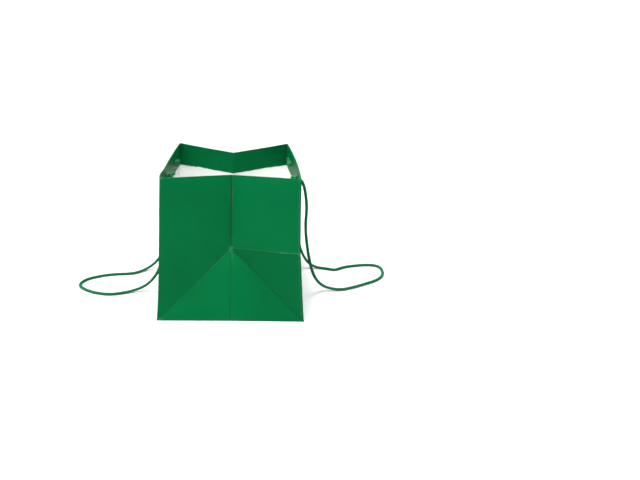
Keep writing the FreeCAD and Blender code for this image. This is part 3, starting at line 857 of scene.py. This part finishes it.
def knot_line(side, end):
    """An overhand knot pulled tight against the inside of the hem, with its tail. The rope comes in through the hole."""
    sx, sy = (1 if side == "right" else -1), (1 if end == "back" else -1)
    hole = hole_point(sx, sy * ROPE_Y)
    inward = -face_normal(sx)
    tail = unit(KNOT_TAILS[side, end])
    size = 1.16
    reach, rise = KNOT_SET[side, end]
    centre = hole + inward * reach + np.array([0.0, 0.0, rise])
    e1 = -inward
    e2 = tail - e1 * (tail @ e1)
    e2 = unit(e2) if np.linalg.norm(e2) > 0.2 else np.array([0.0, 1.0, 0.0])
    e3 = np.cross(e1, e2)
    # lean the knot's own plane a little so that it looks laid up by hand
    lean = math.radians({"left": 24, "right": -20}[side] * sy)
    f2 = e2 * math.cos(lean) + e3 * math.sin(lean)
    f3 = -e2 * math.sin(lean) + e3 * math.cos(lean)
    pts = [hole - inward * 0.8 + np.array([0.0, 0.0, 0.6]), hole + inward * 0.8 + np.array([0.0, 0.0, 1.0]), hole + inward * 1.8 + np.array([0.0, 0.0, 1.6])]
    t0, d = 0.0, 0.34
    for t in np.linspace(t0 + d, t0 + 2 * math.pi - d, 26):
        rad = (2 + math.cos(3 * t)) * size
        x, y, z = rad * math.cos(2 * t), rad * math.sin(2 * t), math.sin(3 * t) * size * 1.25
        pts.append(centre + e1 * x * 0.92 + f2 * y + f3 * z)
    last = pts[-1]
    length = TAIL_LEN[side, end]
    pts.append(last + unit(unit(last - pts[-2]) + tail) * length * 0.30)
    pts.append(last + tail * length * 0.62 + np.array([0, 0, -0.3]))
    pts.append(last + tail * length + np.array([0, 0, -0.7]))
    return np.array(pts) * MM


def make_knot(side, end, seed):
    line = spline_line(knot_line(side, end), order=4, resolution=10)
    r_in = 1.72 * MM

    def squeeze(at, length):
        near_hole = 1 - smoothstep(at, 0.0010, 0.0040)
        tail_open = smoothstep(at, length - 0.006, length - 0.001)
        return 0.74 + 0.26 * near_hole + 0.30 * tail_open

    def flare(at, length):
        return 1 + 0.9 * smoothstep(at, length - 0.0045, length)

    obj, _ = twisted(f"{side}_{end}_overhand_knot", line, r_in, 0.0075, 0.00045, [M_KNOT], sides=10, flare=flare, squeeze=squeeze, seed=seed)
    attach(obj, f"{side}_wall")
    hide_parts(f"{side}_{end}_knot")
    return obj, line


def make_fray(side, end, line, seed, knot):
    """Loose yarn ends at the tip of a cut tail: short tapered fibres, each a closed tube."""
    rng = np.random.RandomState(seed)
    tip, back = line[-1], line[-8]
    d = unit(tip - back)
    a = unit(np.cross(d, [0.3, 0.2, 1.0]))
    b = np.cross(d, a)
    verts, faces, lay = [], [], []
    for k in range(26):
        ang, rad = rng.uniform(0, 2 * math.pi), rng.uniform(0.2, 1.25) * MM
        out = a * math.cos(ang) + b * math.sin(ang)
        root = tip + out * rad - d * rng.uniform(0.3, 1.4) * MM
        length = rng.uniform(1.2, 3.4) * MM
        bend = out * rng.uniform(0.1, 1.1) + a * rng.uniform(-0.4, 0.4) + b * rng.uniform(-0.4, 0.4) - np.array([0, 0, 0.25])
        r0 = rng.uniform(0.10, 0.19) * MM
        base = len(verts)
        rings = 7
        for i in range(rings):
            s = i / (rings - 1)
            c = root + d * length * s + bend * length * 0.55 * s * s
            r = r0 * (1 - 0.65 * s)
            for j in range(5):
                q = 2 * math.pi * j / 5
                verts.append(c + (a * math.cos(q) + b * math.sin(q)) * r)
                lay.append((s * 3.0, j / 5.0, k))
        for i in range(rings - 1):
            for j in range(5):
                p, q = base + i * 5 + j, base + i * 5 + (j + 1) % 5
                faces.append((p, q, q + 5, p + 5))
        faces.append(tuple(base + j for j in reversed(range(5))))
        faces.append(tuple(base + (rings - 1) * 5 + j for j in range(5)))
    obj = new_object(f"{side}_{end}_tail_fray", verts, faces, [M_KNOT], attrs={"lay": lay})
    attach(obj, f"{side}_wall")
    return obj


def make_rope(side, route, seed):
    line = spline_line(route, order=3, resolution=20)
    obj, path = twisted(f"{side}_rope_handle", line, 0.00230, 0.0080, 0.00055, [M_ROPE], sides=10, seed=seed)
    obj_len = float(np.linalg.norm(np.diff(path, axis=0), axis=1).sum())
    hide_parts(f"{side}_handle_rope")
    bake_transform(obj)
    return obj, path, obj_len


for side, route, seed in (("left", LEFT_ROUTE, 1), ("right", RIGHT_ROUTE, 2)):
    rope, path, length = make_rope(side, route, seed)
    extras = []
    for end in ("front", "back"):
        kn, kline = make_knot(side, end, seed * 5 + (1 if end == "back" else 2))
        fr = make_fray(side, end, kline, seed * 7 + (1 if end == "back" else 2), kn)
        extras += [kn, fr]


# ---------------------------------------------------------------- sheets of the bag
def far(u, v):
    return np.full(len(np.atleast_1d(u)), 50.0)


def gusset_attrs(sx, sy, hem=False):
    """Distances to the creases in millimetres, wear along the ridges, the scuffed places, painted shade in the creases
    and at the right corner, and painted light and shade over the panels.
    """

    def fold_in(u, v):
        d = np.minimum((v - u) * 0.7071 + (0.30 if sx * sy > 0 else 0.1), np.where(v >= 99.5, 100 - u, 60.0))
        return np.clip(d, 0, 60)

    def fold_out(u, v):
        d = np.minimum(np.abs(u - 2.3) if sx > 0 else u + 0.0, 200.6 - v)
        if sx > 0 and not hem:
            d = np.minimum(d, np.abs(v - 100.0) * 1.1)
        return np.clip(d, 0, 60)

    def wear(u, v):
        w = 0.35 + 0 * u
        w = np.where(u < 3, 0.30 if sx < 0 else 0.85, w)
        w = np.where(v > 197, 0.10, w)
        if sx > 0 and not hem:
            w = np.where(np.abs(v - 100) < 2.5, 0.65 + 0.8 * smoothstep(60 - u, 0, 60), w)
        return w

    def scuff(u, v):
        s = 0.9 * np.exp(-((u - 99) ** 2 + (v - 99.5) ** 2) / 6.0)
        s = s + 0.7 * np.exp(-((u - 0.5) ** 2 + (v - 199.5) ** 2) / 5.0)
        if sx < 0:
            s = s + 0.8 * np.exp(-(u ** 2 + v ** 2) / 8.0)
        elif not hem:
            s = s + 0.9 * np.exp(-((u - 24) / 6.0) ** 2 - ((v - 100) / 0.8) ** 2) + 0.9 * np.exp(-(u / 5.0) ** 2 - ((v - 100) / 1.0) ** 2)
        # the coating is cracked pale beside the upper part of the centre crease
        s = s + 0.8 * np.exp(-((u - 97.9) / 0.8) ** 2 - ((v - 172) / 13.0) ** 2)
        return np.clip(s, 0, 1)

    def shade_and_grime(u, v):
        # painted shade along the centre crease in its upper half, with a darker spot of it higher up
        s = np.exp(-((u - 99.3) / 1.5) ** 2) * smoothstep(v, 100, 130) * (1 - 0.5 * smoothstep(v, 180, 197))
        s = s + 0.8 * np.exp(-((u - 98.9) / 1.2) ** 2 - ((v - 168) / 9.0) ** 2)
        # painted shade on the rounded right side corner, and a painted shadow line just below the cross crease
        if sx > 0:
            s = s + 0.80 * np.exp(-((u - 0.3) / 1.15) ** 2) * (v < 196)
            s = s + 0.70 * np.exp(-((v - 98.7) / 0.7) ** 2) * (u < 96)
        return np.clip(s * (1 if not hem else 0.3), 0, 1)

    def tone(u, v):
        # painted light and shade: the left half a little lighter, its front panel darker low down towards the side
        # corner; the right half darker below the cross crease than above it; the back right turned hem darker towards
        # its side corner
        if sx < 0:
            return 0.10 + 0 * u - (0.55 * np.exp(-((u - 24) / 24.0) ** 2 - ((v - 68) / 34.0) ** 2) if sy < 0 else 0)
        if hem:
            return 0.10 + 0 * u - (1.10 * np.exp(-u / 34.0) if sy > 0 else 0)
        return np.where(v > 100, -0.05, -0.62)

    return {"fold_in": fold_in, "fold_out": fold_out, "wear": wear, "scuff": scuff, "shade_and_grime": shade_and_grime, "tone": tone}


LINED = lambda u, v: v > 165.4
SIDE = {-1: "left", 1: "right"}
END = {-1: "front", 1: "back"}
ROLL_G = 0.28
V_TOP_G = 200 - ROLL_G


def make_gusset(sx, sy):
    tag = f"{END[sy]}_{SIDE[sx]}"
    fmap = lambda u, v: gusset(sx, sy, u, v)
    seed = 20.0 * (2 + sx) + 100.0 * (2 + sy)
    made = []
    if sx < 0:
        us = steps(0, 100, 3.2)
        ts = steps(0, 200, 3.4) / 200
        uv = np.array([(u, u + (V_TOP_G - u) * t) for u in us for t in ts])
        obj = shell(f"{tag}_gusset_sheet", uv, quad_grid(len(us), len(ts)), fmap, N_LOW[sx, sy], T, [M_GREEN, M_WHITE],
                    gusset_attrs(sx, sy), seed, lined=LINED)
        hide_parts(f"{tag}_gusset_lower", f"{tag}_gusset_upper")
        made.append(obj)
    else:
        us = steps(0, 99.7, 3.2)
        ts = steps(0, 100, 3.4) / 100
        uv = np.array([(u, u + (100 - u) * t) for u in us for t in ts])
        low = shell(f"{tag}_gusset_low_sheet", uv, quad_grid(len(us), len(ts)), fmap, N_LOW[sx, sy], T, [M_GREEN, M_WHITE],
                    gusset_attrs(sx, sy), seed, lined=LINED)
        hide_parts(f"{tag}_gusset_lower")
        us = steps(0, 100, 3.2)
        vs = steps(100, V_TOP_G, 3.4)
        uv = np.array([(u, v) for u in us for v in vs])
        high = shell(f"{tag}_gusset_high_sheet", uv, quad_grid(len(us), len(vs)), fmap, N_UP[sx, sy], T, [M_GREEN, M_WHITE],
                     gusset_attrs(sx, sy), seed, lined=LINED)
        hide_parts(f"{tag}_gusset_upper")
        made += [low, high]
    for o in made:
        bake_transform(o)
    return made


def make_gusset_hem(sx, sy):
    """The top of the sheet turned inside and glued down, with its roll at the rim."""
    tag = f"{END[sy]}_{SIDE[sx]}"
    r = ROLL_G
    roll = math.pi * r
    n_in = -N_UP[sx, sy]
    rng = np.random.RandomState(5 + sx + 3 * sy)
    ph = rng.uniform(0, 6.28, 4)

    def lower_edge(u):
        nick = 0.9 * np.exp(-((u - 20) / 2.6) ** 2) if (sx < 0 and sy > 0) else 0.0
        return 165.0 - 0.35 * np.sin(u / 9.0 + ph[0]) - 0.18 * np.sin(u / 2.9 + ph[1]) - 0.10 * np.sin(u / 1.3 + ph[2]) - nick

    def fmap(u, t):
        # t runs from the outside of the rim over the roll and down inside; 0..roll is the roll
        v = np.where(t < roll, 200 - r + r * np.sin(np.clip(t, 0, roll) / r), 200 - r - (t - roll))
        off = np.where(t < roll, r * (1 - np.cos(np.clip(t, 0, roll) / r)), 2 * r)
        v = np.minimum(v, 200 + 2.0)
        p = gusset(sx, sy, u, np.minimum(v, 199.999))
        p = p + (v - np.minimum(v, 199.999))[:, None] * unit(crest(sy) - apex(sy))
        e = 0.05
        vv = np.minimum(v, 199.9)
        uc = np.clip(u, 0.3, 99.7)
        pu = gusset(sx, sy, uc + e, vv) - gusset(sx, sy, uc - e, vv)
        pv = gusset(sx, sy, uc, vv + e) - gusset(sx, sy, uc, vv - e)
        n = np.cross(pu, pv)
        n /= np.linalg.norm(n, axis=1)[:, None]
        n = n * np.sign(n @ n_in)[:, None]
        return p + n * off[:, None]

    us = steps(2.4, 100.1, 2.0)
    down = 200 - r - 165.0
    uv, rows = [], []
    fixed = [roll * k / 8 for k in range(9)]
    frac = [0.02, 0.05, 0.1, 0.2, 0.35, 0.5, 0.65, 0.8, 0.9, 0.95, 0.98, 0.992, 1.0]
    for u in us:
        drop = 200 - r - float(lower_edge(np.array([u]))[0])
        for t in fixed + [roll + drop * f for f in frac]:
            uv.append((u, t))
    nj = len(fixed) + len(frac)

    base = gusset_attrs(sx, sy, True)

    def wrap(key):
        def fn(u, t):
            v = np.where(t < roll, 200.0, 200 - r - (t - roll))
            if key == "fold_out":
                return np.clip(np.minimum(np.abs(t - roll * 0.5) + 0.2, u - 2.0), 0, 60)
            if key == "fold_in":
                return np.full(len(u), 60.0)
            if key == "shade_and_grime":
                return np.zeros(len(u))
            if key == "scuff":
                return 0.55 * np.exp(-((t - roll - (200 - r - lower_edge(u))) / 0.5) ** 2)
            return base[key](u, v)
        return fn

    # outer skin of this piece faces up over the roll and then into the bag
    obj = shell_skin(f"{tag}_turned_hem", np.array(uv), quad_grid(len(us), nj), fmap, gusset_probe(sx, sy, fmap, us, roll), T,
                     [M_HEM, M_WHITE], {k: wrap(k) for k in base}, 7.0 + sx + 3 * sy)
    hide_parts(f"{tag}_gusset_hem")
    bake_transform(obj)
    return obj


def gusset_probe(sx, sy, fmap, us, roll):
    """+1 or -1: which way cross(Pu, Pt) has to be turned so that the printed skin faces out of the fold."""
    u, t = np.array([us[len(us) // 2]]), np.array([roll + 15.0])
    e = 0.05
    pu = fmap(u + e, t) - fmap(u - e, t)
    pt = fmap(u, t + e) - fmap(u, t - e)
    n = np.cross(pu, pt)[0]
    return 1.0 if n @ (-N_UP[sx, sy]) > 0 else -1.0


def shell_skin(name, uv, faces, fmap, sgn, thick, mats, attrs, flat_w):
    """shell() for a net that turns over, where the sign of the skin is known."""
    if sgn > 0:
        return shell(name, uv, faces, fmap, 1, thick, mats, attrs, flat_w)
    flipped = uv.copy()
    flipped[:, 0] = -flipped[:, 0]
    attrs2 = {k: (lambda u, v, f=f: f(-u, v)) for k, f in attrs.items()}
    return shell(name, flipped, faces, lambda u, v: fmap(-u, v), 1, thick, mats, attrs2, flat_w)


def foot_attrs(sy):
    def fold_in(u, v):
        d = np.minimum((100 - sy * u - v) * 0.7071 + 0.45, (100 + sy * u - v) * 0.7071 + 0.15)
        d = np.minimum(d, np.abs(u) + 0.50)
        return np.clip(d, 0, 60)

    def fold_out(u, v):
        return np.clip(v + 0.0, 0, 60)

    def wear(u, v):
        return 0.45 + 0 * u

    def scuff(u, v):
        s = 0.9 * np.exp(-(u ** 2) / 3.0 - ((v - 97.5) ** 2) / 9.0)
        s = s + 0.5 * np.exp(-((u - 1.8) ** 2) / 1.5 - ((v - 88) ** 2) / 16.0)
        s = s + 1.0 * np.exp(-((u + 97) ** 2) / 14.0 - ((v - 1.6) ** 2) / 1.8)
        # the left diagonal is pale along its lower side, wear with a painted highlight on the raised edge
        s = s + (0.10 + 0.30 * smoothstep(v, 45, 80)) * np.exp(-(((100 - sy * u - v) * 0.7071 - 0.7) / 0.6) ** 2)
        return np.clip(s, 0, 1)

    def shade_and_grime(u, v):
        # painted shade along the faint centre crease, and a painted contact shadow along the bottom edge
        s = 0.35 * np.exp(-(u / 1.2) ** 2) * (1 - smoothstep(v, 85, 95))
        s = s + 0.8 * np.exp(-((v - 0.0) / 0.8) ** 2)
        return np.clip(s, 0, 1)

    # painted light and shade: the whole triangle a little darker, a lighter band high up and the right half darker
    # still
    return {"fold_in": fold_in, "fold_out": fold_out, "wear": wear, "scuff": scuff, "shade_and_grime": shade_and_grime, "tone": lambda u, v: -0.22 + 0.55 * np.exp(-((v - 84) / 13.0) ** 2) - 0.50 * smoothstep(u, -5, 55)}


def make_foot(sy):
    fmap = lambda u, v: foot(sy, u, v)
    vs = steps(0, 99.7, 2.6)
    half = steps(0, 100, 2.6, fine_a=True, fine_b=True) / 100
    ss = np.concatenate([-half[::-1], half[1:]])
    uv = np.array([((100 - v) * s, v) for v in vs for s in ss])
    obj = shell(f"{END[sy]}_foot_sheet", uv, quad_grid(len(vs), len(ss)), fmap, N_FOOT[sy], T, [M_GREEN, M_WHITE], foot_attrs(sy), 300.0 + 40 * sy)
    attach(obj, f"{END[sy]}_foot_panel")
    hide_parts(f"{END[sy]}_left_foot", f"{END[sy]}_right_foot")
    return obj


HOLES = [(-ROPE_Y, ROPE_V), (ROPE_Y, ROPE_V)]
ROLL_F = 0.75
BOARD = 1.0


def wall_attrs(sx):
    def fold_in(u, v):
        d = np.full(len(u), 60.0)
        return d

    def fold_out(u, v):
        d = np.minimum(HD - np.abs(u), 200.6 - v)
        d = np.minimum(d, v + 0.0)
        if sx > 0:
            d = np.minimum(d, np.abs(v - 100))
        return np.clip(d, 0, 60)

    def wear(u, v):
        w = np.full(len(u), 0.38)
        if sx > 0:
            w = np.where(np.abs(v - 100) < 2.5, 0.8, w)
        return w

    def scuff(u, v):
        s = 0 * u
        for a in (-1, 1):
            s = s + 0.9 * np.exp(-((u - a * HD) ** 2 + v ** 2) / 7.0) + 0.6 * np.exp(-((u - a * HD) ** 2 + (v - 199.5) ** 2) / 5.0)
            s = s + 0.8 * np.exp(-((np.hypot(u - a * ROPE_Y, v - ROPE_V) - 2.3) / 0.45) ** 2)
        return np.clip(s, 0, 1)

    def shade_and_grime(u, v):
        # a darker ring round each rope hole
        s = 0 * u
        for a in (-1, 1):
            s = s + 0.5 * np.exp(-((np.hypot(u - a * ROPE_Y, v - ROPE_V) - 2.6) / 1.2) ** 2)
        return np.clip(s, 0, 1)

    return {"fold_in": fold_in, "fold_out": fold_out, "wear": wear, "scuff": scuff, "shade_and_grime": shade_and_grime}


def wall_net(v_lo, v_hi, y_half, coarse_y=5.0, coarse_v=5.0, extra_v=()):
    ys = steps(-y_half, y_half, coarse_y)
    for y, _ in HOLES:
        ys = lines_with(ys, y, 5.0, 6)
    vs = steps(v_lo, v_hi, coarse_v)
    if extra_v:
        vs = np.array(sorted(set([x for x in vs if min(abs(x - e) for e in extra_v) > 0.15] + list(extra_v))))
    vs = lines_with(vs, ROPE_V, 5.0, 6)
    return punch(ys, vs, HOLES, 2.2)


def make_wall(sx):
    tag = SIDE[sx]
    fmap = lambda y, v: wall(sx, y, v)
    extra = (96.0, 98.0, 99.0, 99.5, 100.0, 100.5, 101.0, 102.0, 104.0) if sx > 0 else ()
    uv, faces = wall_net(0, 200 - ROLL_F, HD, extra_v=extra)
    obj = shell(f"{tag}_wall_sheet", uv, faces, fmap, face_normal(sx), T, [M_GREEN, M_WHITE], wall_attrs(sx), 500.0 + 60 * sx, lined=LINED)
    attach(obj, f"{tag}_wall")
    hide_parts(*(["left_face"] if sx < 0 else ["right_face_lower", "right_face_upper"]))
    return obj


def make_wall_hem(sx):
    tag = SIDE[sx]
    r = ROLL_F
    roll = math.pi * r
    rng = np.random.RandomState(15 + sx)
    ph = rng.uniform(0, 6.28, 4)

    def lower_edge(y):
        return 165.0 - 0.35 * np.sin(y / 11.0 + ph[0]) - 0.2 * np.sin(y / 3.1 + ph[1]) - 0.1 * np.sin(y / 1.4 + ph[2])

    def fmap(y, t):
        v = np.where(t < roll, 200 - r + r * np.sin(np.clip(t, 0, roll) / r), 200 - r - (t - roll))
        off = np.where(t < roll, r * (1 - np.cos(np.clip(t, 0, roll) / r)), 2 * r)
        p = wall(sx, np.clip(y, -HD + 1.6, HD - 1.6), v)
        p[:, 1] += y - np.clip(y, -HD + 1.6, HD - 1.6)
        return p - face_normal(sx) * off[:, None]

    half = HD - 1.8
    ys = steps(-half, half, 4.0)
    for y, _ in HOLES:
        ys = lines_with(ys, y, 5.0, 6)
    down = [0.6, 1.3, 2.4, 4.0, 6.5, 9.0]
    hole_t = roll + (200 - r - ROPE_V)
    ts = [roll * k / 10 for k in range(11)] + [roll + x for x in down if x < (200 - r - ROPE_V) - 6.2]
    ts = np.array(ts)
    ts = np.concatenate([ts, np.linspace(hole_t - 5, hole_t + 5, 7)])
    total = roll + (200 - r - 165.0)
    more = [hole_t + 6.5, hole_t + 8.5, total - 2.4, total - 1.3, total - 0.6, total - 0.25, total]
    ts = np.concatenate([ts, [m for m in more if m > hole_t + 5.5]])
    ts = np.array(sorted(set(np.round(ts, 5))))
    uv, faces = punch(ys, ts, [(-ROPE_Y, hole_t), (ROPE_Y, hole_t)], 2.2)
    # waviness of the cut edge: rows below the holes stretch to it
    low = uv[:, 1] > hole_t + 5.5
    share = np.clip((uv[:, 1] - (hole_t + 5.5)) / (total - hole_t - 5.5), 0, 1)
    uv[:, 1] = np.where(low, uv[:, 1] + share * (165.0 - lower_edge(uv[:, 0])), uv[:, 1])
    base = wall_attrs(sx)

    def wrap(key):
        def fn(u, t):
            v = np.where(t < roll, 200.0, 200 - r - (t - roll))
            if key == "fold_out":
                return np.clip(np.minimum(np.abs(t - roll * 0.5) + 0.2, HD - 1.2 - np.abs(u)), 0, 60)
            if key == "fold_in":
                return np.full(len(u), 60.0)
            if key == "scuff":
                return np.clip(base[key](u, v) + 0.5 * np.exp(-((v - lower_edge(u)) / 0.5) ** 2), 0, 1)
            return base[key](u, v)
        return fn

    e = 0.05
    u, t = np.array([0.0]), np.array([roll + 12.0])
    n = np.cross(fmap(u + e, t) - fmap(u - e, t), fmap(u, t + e) - fmap(u, t - e))[0]
    sgn = 1.0 if n @ (-face_normal(sx)) > 0 else -1.0
    obj = shell_skin(f"{tag}_turned_hem", uv, faces, fmap, sgn, T, [M_HEM, M_WHITE], {k: wrap(k) for k in base}, 3.0 + sx)
    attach(obj, f"{tag}_wall")
    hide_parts(f"{tag}_hem")

    # grey card inside the turned hem, where the ropes pull
    def card(y, v):
        return wall(sx, y, v) - face_normal(sx) * (T / 2 + BOARD / 2)

    ys2 = steps(-(HD - 4.5), HD - 4.5, 6.0)
    vs2 = steps(166.4, 198.6, 4.0)
    for y, _ in HOLES:
        ys2 = lines_with(ys2, y, 5.0, 6)
    vs2 = lines_with(vs2, ROPE_V, 5.0, 6)
    uv2, faces2 = punch(ys2, vs2, HOLES, 2.2)
    flat_attrs = {"fold_in": far, "fold_out": lambda u, v: np.clip(np.minimum.reduce([HD - 4.5 - np.abs(u), v - 166.4, 198.6 - v]), 0, 60)}
    c = shell(f"{tag}_hem_card", uv2, faces2, card, face_normal(sx), BOARD - 0.04, [M_CARD, M_CARD], flat_attrs, 9.0 + sx)
    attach(c, f"{tag}_wall")
    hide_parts(f"{tag}_hem_board")
    return obj, c


def make_seam_tab():
    """The strip of the sheet that is glued down inside the left rope face at the back corner."""
    lo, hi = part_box("side_seam_tab")
    y0, y1 = lo.y / MM, hi.y / MM

    def fmap(y, v):
        p = wall(-1, y, v)
        lift = 0.02 + 0.12 * smoothstep(y1 - y, 0, 14)
        return p - face_normal(-1) * (T + lift)[:, None]

    ys = steps(y0, HD - 1.1, 2.5)
    vs = steps(8.0, 164.0, 5.0)
    # the cut edge wanders a little, and the columns beside it give way so that none cross
    uv = np.array([(y + (0.25 * math.sin(v / 7.0) + 0.1 * math.sin(v / 2.3)) * max(0.0, 1 - (y - ys[0]) / 3.0), v) for y in ys for v in vs])
    obj = shell("side_seam_glue_tab", uv, quad_grid(len(ys), len(vs)), fmap, -face_normal(-1), T, [M_WHITE, M_WHITE],
                {"fold_in": far, "fold_out": lambda u, v: np.clip(u - y0, 0, 60)}, 77.0)
    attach(obj, "left_wall")
    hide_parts("side_seam_tab")
    return obj


def plate_attrs(x0, x1, y0, y1):
    return {
        "fold_in": far,
        "fold_out": lambda u, v: np.clip(np.minimum.reduce([u - x0, x1 - u, v - y0, y1 - v]), 0, 60),
        "wear": lambda u, v: 0.5 + 0 * u,
        "scuff": lambda u, v: np.clip(0.8 * sum(np.exp(-((u - a) ** 2 + (v - b) ** 2) / 60.0) for a in (x0, x1) for b in (y0, y1)), 0, 1),
        "shade_and_grime": lambda u, v: 0 * u,
    }


def make_bottom():
    down = np.array([0, 0, -1.0])
    # outer flap, hinged on the right rope face
    lo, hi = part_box("bottom_outer_flap")
    x0, x1 = lo.x / MM, HW - 0.15

    def outer(x, y):
        z = 0.25 + 0.55 * fall(HW - x, 1.2) + 0.03 * np.sin(x / 31.0) * np.sin(y / 40.0) ** 2
        return settle(np.stack([x, y, z], axis=1))

    xs, ys = steps(x0, x1, 9.0), steps(-HD + 1.3, HD - 1.3, 9.0)
    uv = np.array([(x, y) for x in xs for y in ys])
    a = shell("bottom_outer_flap_sheet", uv, quad_grid(len(xs), len(ys)), outer, down, T, [M_GREEN, M_WHITE], plate_attrs(x0, x1, -HD + 1.3, HD - 1.3), 801.0, rim_mat=(1, 1))
    # inner flap, hinged on the left rope face, climbs on to the outer one
    lo2, hi2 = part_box("bottom_inner_flap")
    x2, x3 = -HW + 0.15, hi2.x / MM

    def inner(x, y):
        z = 0.25 + 0.5 * smoothstep(x, -HW + 2.0, x0 - 1.5) + 0.55 * fall(x + HW, 1.2)
        return settle(np.stack([x, y, z + 0.0 * y], axis=1))

    xs, ys = steps(x2, x3, 6.0), steps(-HD + 1.3, HD - 1.3, 9.0)
    uv = np.array([(x, y) for x in xs for y in ys])
    b = shell("bottom_inner_flap_sheet", uv, quad_grid(len(xs), len(ys)), inner, down, T, [M_GREEN, M_WHITE], plate_attrs(x2, x3, -HD + 1.3, HD - 1.3), 802.0, rim_mat=(1, 1))
    for o, n in ((a, "bottom_outer_flap"), (b, "bottom_inner_flap")):
        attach(o, "base")
        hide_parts(n)
    # end flaps, hinged on the front and back feet
    for sy in (-1, 1):
        lo3, hi3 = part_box(f"bottom_end_flap_{END[sy]}")
        inner_y = min(abs(lo3.y), abs(hi3.y)) / MM

        def endflap(x, d):
            # d runs from the fold at the wall inwards
            z = 0.35 + 0.9 * smoothstep(d, 0.0, 2.2) + 0.35 * fall(d, 1.0)
            return settle(np.stack([x, sy * (HD - 0.5 - d), z], axis=1))

        depth = HD - 0.5 - inner_y
        ds = steps(0, depth, 6.0)
        halfx = steps(0, 1, 0.06, False, False)
        ss = np.concatenate([-halfx[::-1], halfx[1:]])
        uv = np.array([(s * (98.5 - d * 0.96), d) for d in ds for s in ss])
        o = shell(f"bottom_end_flap_{END[sy]}_sheet", uv, quad_grid(len(ds), len(ss)), endflap, down, T, [M_GREEN, M_WHITE],
                  {"fold_in": far, "fold_out": lambda u, v: np.clip(v, 0, 60), "wear": lambda u, v: 0.4 + 0 * u,
                   "scuff": lambda u, v: 0 * u, "shade_and_grime": lambda u, v: 0 * u}, 810.0 + sy, rim_mat=(1, 1))
        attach(o, "base")
        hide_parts(f"bottom_end_flap_{END[sy]}")
    # loose base card with its cut corners eased
    lo4, hi4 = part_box("base_board")
    bx, by = hi4.x / MM, hi4.y / MM
    zc = (lo4.z + hi4.z) / 2 / MM

    def board(x, y):
        return np.stack([x, y, zc + 0.18 * (x / bx) ** 2 * (y / by) ** 2 - 0.0 * x], axis=1)

    xs, ys = steps(-bx, bx, 9.0), steps(-by, by, 9.0)
    uv = []
    for x in xs:
        for y in ys:
            # round each corner off by pulling it in along a 6 mm arc
            r = 6.0
            cx, cy = max(abs(x) - (bx - r), 0), max(abs(y) - (by - r), 0)
            if cx > 0 and cy > 0:
                big, small = max(cx, cy), math.hypot(cx, cy)
                k = big / small
                cx, cy = cx * k, cy * k
                x = math.copysign(bx - r + cx, x)
                y = math.copysign(by - r + cy, y)
            uv.append((x, y))
    o = shell("base_card_sheet", np.array(uv), quad_grid(len(xs), len(ys)), board, -down, (hi4.z - lo4.z) / MM - 0.05, [M_BASE, M_BASE],
              {"fold_in": far, "fold_out": lambda u, v: np.clip(np.minimum(bx - np.abs(u), by - np.abs(v)), 0, 60)}, 820.0)
    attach(o, "base")
    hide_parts("base_board")


for sy in (-1, 1):
    make_foot(sy)
    for sx in (-1, 1):
        make_gusset(sx, sy)
        make_gusset_hem(sx, sy)
for sx in (-1, 1):
    make_wall(sx)
    make_wall_hem(sx)
make_seam_tab()
make_bottom()


# ---------------------------------------------------------------- floor and light
def make_stage():
    n = 96
    rings = [0.0, 0.4, 1.0, 2.5, 6.0, 14.0]
    verts = [(0, 0, 0)]
    faces = []
    for r in rings[1:]:
        verts += [(r * math.cos(2 * math.pi * k / n), r * math.sin(2 * math.pi * k / n), 0) for k in range(n)]
    for k in range(n):
        faces.append((0, 1 + k, 1 + (k + 1) % n))
    for i in range(len(rings) - 2):
        a, b = 1 + i * n, 1 + (i + 1) * n
        for k in range(n):
            faces.append((a + k, b + k, b + (k + 1) % n, a + (k + 1) % n))
    verts = [(x, y, -0.00012) for x, y, _ in verts]
    obj = new_object("studio_floor", verts, faces, [floor_material()])


def make_lights():
    world = bpy.data.worlds.new("studio")
    scene.world = world
    world.use_nodes = True
    nt = world.node_tree
    g = Net(nt)
    bg = next(n for n in nt.nodes if n.type == "BACKGROUND")
    geo = g.node("ShaderNodeTexCoord")
    sep = g.node("ShaderNodeSeparateXYZ")
    g.link(geo.outputs["Generated"], sep.inputs[0])
    band = g.span(sep.outputs[2], 0.07, 0.20, 1.0, 0.0, True)
    col = g.mix(band, (0.46, 0.465, 0.47, 1), (1.05, 1.05, 1.05, 1))
    g.link(col, bg.inputs["Color"])
    bg.inputs["Strength"].default_value = 1.0
    sun = bpy.data.lights.new("top_softbox", "SUN")
    sun.energy = 3.4
    sun.angle = math.radians(80)
    o = bpy.data.objects.new("top_softbox", sun)
    scene.collection.objects.link(o)
    o.rotation_mode = "QUATERNION"
    o.rotation_quaternion = Vector((-0.34, -0.46, 0.82)).to_track_quat("Z", "Y")
    top = bpy.data.lights.new("overhead_softbox", "AREA")
    top.shape, top.size, top.energy = "DISK", 0.55, 14.0
    o = bpy.data.objects.new("overhead_softbox", top)
    scene.collection.objects.link(o)
    o.location = (0.0, -0.06, 1.3)
    o.visible_camera = False


make_stage()
make_lights()
